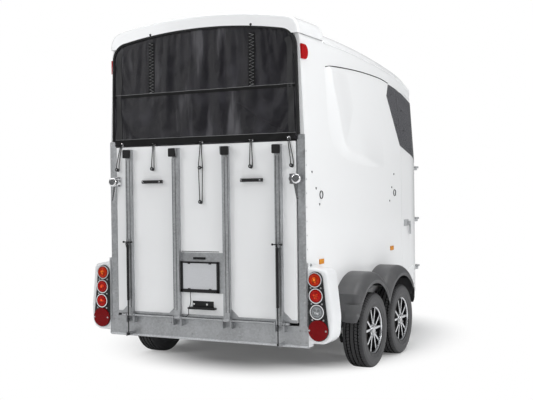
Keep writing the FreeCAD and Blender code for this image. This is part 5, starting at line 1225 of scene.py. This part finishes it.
# %% [markdown]
# ## Tie rings on the walls
# Each wall carries two tie rings at shoulder height, with three-sided bolt caps in a slanting row beside
# them. A ring lies in a round plate and hangs from an eye, so it is a turned plate and a bead that
# closes on itself.

# %% Tie rings
RING_HEIGHT, RING_RADIUS = 1475, 0.031
PLATE_SECTION = [(0, 0.0005), (0, 0.037), (0.002, 0.037), (0.003, 0.035), (0.0015, 0.031), (0.0015, 0.012),
                 (0.006, 0.010), (0.007, 0.0005)]
RINGS = {294: ((-171, 1659), (-95, 1530), (-29, 1401)), 2089: ((-6, 1659), (-73, 1530), (-136, 1401))}
ring_plates, ring_paths, cap_spots = Shape(), [], []
for side in SIDES:
    for y, caps in RINGS.items():
        spot, out = on_side(y, RING_HEIGHT, side)
        ring_plates.lathe(spot - out * 0.001, out, PLATE_SECTION, 36)
        ring_paths.append([spot + out * 0.0060 + Vector((0, math.cos(turn), math.sin(turn))) * RING_RADIUS
                           for turn in (math.tau * i / 16 for i in range(16))])
        cap_spots += [on_side(y + dy, z, side) for dy, z in caps]
grey_cap = black_plastic("grey_cap", 0.10, 0.4)
ring_plates.build("tie_ring_plates", [wall_coat])
bead("tie_rings", ring_paths, 0.0036, dark_screw, closed=True)
fasteners("bolt_caps", cap_spots, 0.013, grey_cap, height=0.005, sides=3, washer=0.006)

# %% [markdown]
# ## Tyres
# Road tyres have four straight grooves and a row of slanted cuts that make separate blocks. The tyre is
# one closed skin: a profile of its section is repeated round the axle, and wherever a cut falls, the
# points of that row sink by a few millimetres. The grooves are painted nearly black, as painted shade,
# and the side walls are a little paler than the tread.

# %% Tyre tread
TYRE_RADIUS, BLOCKS, TREAD_HALF, WALL_START, GROOVE_START = 322.0, 68, 63, 88, 2.9
GROOVES = (19.0, 52.0)


def tyre_profile():
    """Points of (out from the middle, radius, cut depth) from one bead over the tread to the other."""
    flank = [(79, 205, 0), (87, 213, 0), (91, 224, 0), (93.5, 238, 0), (94.6, 240, 0), (94.8, 246, 0),
             (94.9, 268, 0), (94.2, 284, 0), (94.4, 287, 0), (93.2, 290, 0), (90, 301, 0), (86.5, 308, 3.5),
             (80, 314.5, 5.5), (72, 318.6, 5.5)]
    tread = []
    for x in GROOVES[::-1]:
        tread += [(x + 4.6, TYRE_RADIUS - 1.8 * (x / 60) ** 2, 5.0), (x + 3.4, TYRE_RADIUS - 7.5, 0),
                  (x - 3.4, TYRE_RADIUS - 7.5, 0), (x - 4.6, TYRE_RADIUS - 1.6 * (x / 60) ** 2, 3.5)]
    half = (flank + [(62, 320.3, 5.5)] + tread[:4] + [(36, TYRE_RADIUS - 0.6, 3.0)] + tread[4:]
            + [(7, TYRE_RADIUS, 1.5)])
    return half + [(-x, radius, cut) for x, radius, cut in reversed(half)]


def tyre(name):
    middle = wheel_middle(name)
    section = tyre_profile()
    rows = []
    for block in range(BLOCKS):
        for share, sunk in ((0.0, 0), (0.40, 0), (0.78, 0), (0.81, 1), (0.97, 1)):
            ring = []
            for x, radius, cut in section:
                turn = math.tau * (block + share + 0.55 * (abs(x) - 40) / 60) / BLOCKS
                reach = (radius - cut * sunk) * MM
                ring.append(middle + Vector((x * MM, math.cos(turn) * reach, math.sin(turn) * reach)))
            rows.append(ring)
    shape = Shape().skin(rows + rows[:1], closed=True)
    rubbers = [tyre_rubber, groove_shade_rubber, wall_rubber]
    piece = shape.build("tread_" + name, rubbers, body="wheel_" + name, smooth=32)
    for face in piece.data.polygons:
        out, reach = abs(face.center.x - middle.x) / MM, math.hypot(*(face.center - middle)[1:]) / MM
        groove = out < TREAD_HALF and reach < TYRE_RADIUS - GROOVE_START
        face.material_index = 1 if groove else 2 if out > WALL_START else 0
    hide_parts("tyre_" + name)


tyre_rubber = black_plastic("tyre_rubber", 0.052, 0.60, 0.0004)
# Painted shade: the groove faces are nearly black.
groove_shade_rubber = black_plastic("tyre_groove_painted_shade", 0.002, 0.9, 0.0002, 0.05)
wall_rubber = black_plastic("tyre_wall", 0.074, 0.45, 0.0004)
for name in WHEEL_NAMES:
    tyre(name)

# %% [markdown]
# ## Wheel bolts and caps
# Five bolts hold each rim and a small cap closes the hub. The faces that they stand on are found by rays
# along the axle, and the cap is turned from a profile.

# %% Wheel fittings
hub_metal = plated("hub_cap_metal", 0.62, 0.25)
BOLT_CIRCLE, BOLTS = 0.049, 5
CAP_SECTION = [(0, 0.001), (0, 0.0335), (0.010, 0.0335), (0.013, 0.031), (0.0135, 0.026), (0.0125, 0.025),
               (0.0135, 0.001)]


def wheel_fittings(name):
    middle, rim_tree = wheel_middle(name), search_tree("rim_" + name)
    out = Vector((math.copysign(1, middle.x), 0, 0))

    def rim_face(radius, turn):
        start = middle + out * 0.4 + Vector((0, math.cos(turn) * radius, math.sin(turn) * radius))
        return rim_tree.ray_cast(start, -out)[0]

    bolts = [(rim_face(BOLT_CIRCLE, math.tau * (i + 0.5) / BOLTS), out) for i in range(BOLTS)]
    fasteners("wheel_bolts_" + name, bolts, 0.010, screw_steel, "wheel_" + name, 0.012, washer=0.0125)
    hub = Vector((rim_face(0.030, 0.3).x, middle.y, middle.z))
    cap = Shape().lathe(hub - out * 0.004, out, CAP_SECTION, 36)
    cap.build("hub_cap_" + name, [hub_metal], "wheel_" + name)


for name in WHEEL_NAMES:
    wheel_fittings(name)

# %% [markdown]
# ## Mudguard edges
# The mudguards' arches have a rolled edge that stiffens the thin plastic. It follows a circle about
# each axle and meets in the valley between them. At the front and the back a guard reaches down beside
# the tyre and turns inwards round a corner, which is skinned from plan sections and ends in a hem.

# %% Mudguard beads
guard_tree = search_tree("mudguards")
GUARD_BEAD, GUARD_FACE, WHEEL_HEIGHT, AXLE_SPOTS = 426.0, 1.12, 302.0, (932.0, 1654.0)


def guard_line(side):
    valley = math.acos((AXLE_SPOTS[1] - AXLE_SPOTS[0]) / 2 / GUARD_BEAD)
    turns = [math.pi - 0.30 - (math.pi - 0.30 - valley) * i / 26 for i in range(27)]
    spots = [(AXLE_SPOTS[0] + GUARD_BEAD * math.cos(turn), WHEEL_HEIGHT + GUARD_BEAD * math.sin(turn))
             for turn in turns]
    spots += [(sum(AXLE_SPOTS) - y, z) for y, z in reversed(spots[:-1])]
    line = []
    for y, z in spots:
        point, *_ = guard_tree.ray_cast(at(side * 1400, y, z), Vector((-side, 0, 0)))
        if point and abs(point.x) > GUARD_FACE:
            line.append(point)
    return line


mud_edge = black_plastic("mudguard_edge", 0.13, 0.34, 0.0003)
bead("mudguard_edges", [guard_line(1), guard_line(-1)], 0.0036, mud_edge)


CORNER_X, CORNER_Y, CORNER_RADIUS, SKIRT_START = 1077, 615, 78, 1030
HEM, PLAIN = 2.6, 0.7
SKIRT_ROWS = [(411, HEM), (440, HEM), (472, HEM), (475, PLAIN), (500, PLAIN), (535, PLAIN), (562, PLAIN)]
BOTH_ENDS = 2606


def skirt(shape, side, flip):
    """The lower corner of a mudguard, which reaches down beside the tyre and ends in a thicker hem."""
    def arc(radius):
        return [(CORNER_X + radius * math.cos(turn), CORNER_Y + radius * math.sin(turn)) for turn in turns]

    rows = []
    for z, proud in SKIRT_ROWS:
        last = -math.asin((CORNER_Y - (551 + (z - 411) * 0.4)) / CORNER_RADIUS)
        turns = [-math.pi / 2 + (last + math.pi / 2) * i / 9 for i in range(10)]
        outer = [(SKIRT_START, CORNER_Y - CORNER_RADIUS - proud)] + arc(CORNER_RADIUS + proud)
        inner = [(SKIRT_START, CORNER_Y - CORNER_RADIUS + 3)] + arc(CORNER_RADIUS - 3)
        rows.append([at(side * x, BOTH_ENDS - y if flip else y, z) for x, y in outer + inner[::-1]])
    shape.skin(rows, closed=True, ends=True)


skirts = Shape()
for side in SIDES:
    for flip in (False, True):
        skirt(skirts, side, flip)
skirts.build("mudguard_skirts", [guard_plastic], smooth=35)

# %% [markdown]
# ## Dampers
# Behind each lamp pod a shock absorber shows beside the tyre: a black tube under a grey bracket that
# hangs from the chassis. The tube is turned from a profile along its slanting axis, and the bracket is a
# block, as no more of it is seen.

# %% Dampers
DAMPER_SECTION = [(0, 0.002), (0, 0.020), (0.09, 0.020), (0.092, 0.014), (0.15, 0.014), (0.152, 0.019),
                  (0.168, 0.019), (0.168, 0.002)]
brackets, tubes = Shape(), Shape()
for side in SIDES:
    for y in AXLE_SPOTS:
        brackets.block(at(side * 905, y - 330, 330), at(side * 940, y - 290, 425))
        top, foot = at(side * 922, y - 312, 352), at(side * 922, y - 200, 222)
        tubes.lathe(top, foot - top, DAMPER_SECTION)
brackets.build("damper_brackets", [zinc], bevel=0.003)
tubes.build("dampers", [grip_plastic], smooth=50)

# %% [markdown]
# ## Drawbar fittings
# A ribbed rubber bellows covers the overrun shaft, and bolts hold the overrun housing on the drawbar. The
# bellows is a zigzag profile turned about the shaft. The groom's door has small screws in its hinges.

# %% Bellows, bolts and hinge screws
FOLDS, FOLD_PITCH = 9, 0.0095
bellows_profile = [(0.0, 0.026), (0.0, 0.040)]
for i in range(FOLDS):
    bellows_profile += [(0.006 + i * FOLD_PITCH, 0.045), (0.0108 + i * FOLD_PITCH, 0.036)]
bellows_profile += [(0.095, 0.038), (0.095, 0.026)]
Shape().lathe(at(0, 3911, 430), AHEAD, bellows_profile, 40).build("shaft_bellows", [seal_rubber], smooth=60)
housing_bolts = [(at(side * 48.5, y, 380), Vector((side, 0, 0)))
                 for side in SIDES for y in (3700, 3770, 3850)]
fasteners("housing_bolts", housing_bolts, 0.009, zinc, height=0.007)
hinge_screws = [on_side(y, z) for y in (2876, 2900) for z in (672, 706, 1144, 1178, 1676, 1710)]
fasteners("hinge_screws", hinge_screws, 0.005, screw_steel, "groom_door", 0.003, sides=14)

# %% [markdown]
# ## Inside the box
# When the ramp is down the inside shows: kick boards along the walls, and on the ramp a rubber mat with
# cross bars that give the hooves a hold.

# %% Kick boards and ramp mat
kick = Shape()
for side in SIDES:
    kick.block(at(side * 886, 110, 462), at(side * 892, 2200, 1180))
kick.build("kick_boards", [board], bevel=0.002)
mat = Shape().block(at(-812, 12, 520), at(812, 17, 1866))
mat.build("ramp_mat", [mat_rubber], body="ramp", bevel=0.001)
cleats = [[at(-780, 17, z), at(780, 17, z)] for z in range(590, 1860, 140)]
bead("ramp_cleats", cleats, 0.009, mat_rubber, "ramp", sides=16, smooth=False)

# %% [markdown]
# ## Studio
# The photograph was cut out on white, with a soft shadow kept under the trailer. The floor is a wide
# matt square whose shading shows only near the trailer, less far on its right, and fades into plain
# white, so no horizon shows. Three large area lamps and a pale world light it without hard edges.

# %% Studio
FLOOR_HALF = 30.0


def studio_floor():
    mesh = bpy.data.meshes.new("studio_floor")
    corners = [(x * FLOOR_HALF, y * FLOOR_HALF, 0) for x, y in ((-1, -1), (1, -1), (1, 1), (-1, 1))]
    mesh.from_pydata(corners, [], [(0, 1, 2, 3)])
    floor = new_object("studio_floor", mesh)
    finish = Finish("studio_paper", Roughness=0.9, Base_Color=(0.96, 0.96, 0.96))
    x, y, z = finish.axes()
    across = x.size() * 0.60 + x.math("MAXIMUM", 0.0) * 0.24
    away = (across ** 2 + (y * 0.60) ** 2) ** 0.5
    plain = away.ramp(0.85, 1.36, 0.09, 1.0)
    path = finish.tree.nodes.new("ShaderNodeLightPath")
    seen = sum(Flow(finish, path.outputs[ray]) for ray in ("Is Camera Ray", "Is Transmission Ray"))
    glow = finish.node("ShaderNodeEmission", {}, {"Color": (1, 1, 1), "Strength": 1.0})
    mix = finish.tree.nodes.new("ShaderNodeMixShader")
    finish.join(mix.inputs[0], seen.math("MINIMUM", 1.0) * plain)
    finish.tree.links.new(finish.shader.outputs[0], mix.inputs[1])
    finish.tree.links.new(glow.socket, mix.inputs[2])
    finish.tree.links.new(mix.outputs[0], finish.tree.nodes["Material Output"].inputs["Surface"])
    mesh.materials.append(finish.material)
    floor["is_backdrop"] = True


def area_lamp(name, place, aim, size, power):
    data = bpy.data.lights.new(name, "AREA")
    data.shape, data.size, data.energy = "SQUARE", size, power
    lamp = new_object(name, data)
    lamp.location = place
    lamp.rotation_euler = (Vector(aim) - Vector(place)).to_track_quat("-Z", "Y").to_euler()


COOL = (0.97, 0.985, 1.0, 1)


def studio_world(ambient, shine):
    """White for the camera, a soft dome for the light, and a darker gradient in what glossy faces mirror."""
    world = bpy.data.worlds.new("studio_world")
    bpy.context.scene.world = world
    world.use_nodes = True
    tree = world.node_tree

    def add(kind, settings=None, **sockets):
        return step(tree, kind, settings, **sockets).outputs

    path = add("ShaderNodeLightPath")
    up = add("ShaderNodeSeparateXYZ", i0=add("ShaderNodeTexCoord")["Generated"])
    sky = add("ShaderNodeMapRange", i0=up["Z"], i1=-0.25, i2=0.75, i3=0.12, i4=1.0)
    mirrored = add("ShaderNodeMath", {"operation": "MULTIPLY"}, i0=sky[0], i1=shine)
    white = add("ShaderNodeBackground", Color=(1, 1, 1, 1), Strength=1.0)
    soft = add("ShaderNodeBackground", Color=COOL, Strength=ambient)
    dark = add("ShaderNodeBackground", Color=COOL, Strength=mirrored[0])
    light = add("ShaderNodeMixShader", i0=path["Is Glossy Ray"], i1=soft[0], i2=dark[0])
    seen = add("ShaderNodeMixShader", i0=path["Is Camera Ray"], i1=light[0], i2=white[0])
    tree.links.new(seen[0], tree.nodes["World Output"].inputs["Surface"])


studio_floor()
studio_world(0.45, 0.36)
area_lamp("overhead", (0.5, -1.5, 7.0), (0, 0, 1.0), 6.0, 250)
area_lamp("rear_left", (-5.5, -7.0, 4.5), (0, -1.0, 1.2), 3.5, 124)
area_lamp("right_side", (7.5, -3.6, 4.2), (0.5, 0.3, 1.3), 3.0, 250)

# %% The bounds of the pieces
low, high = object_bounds()
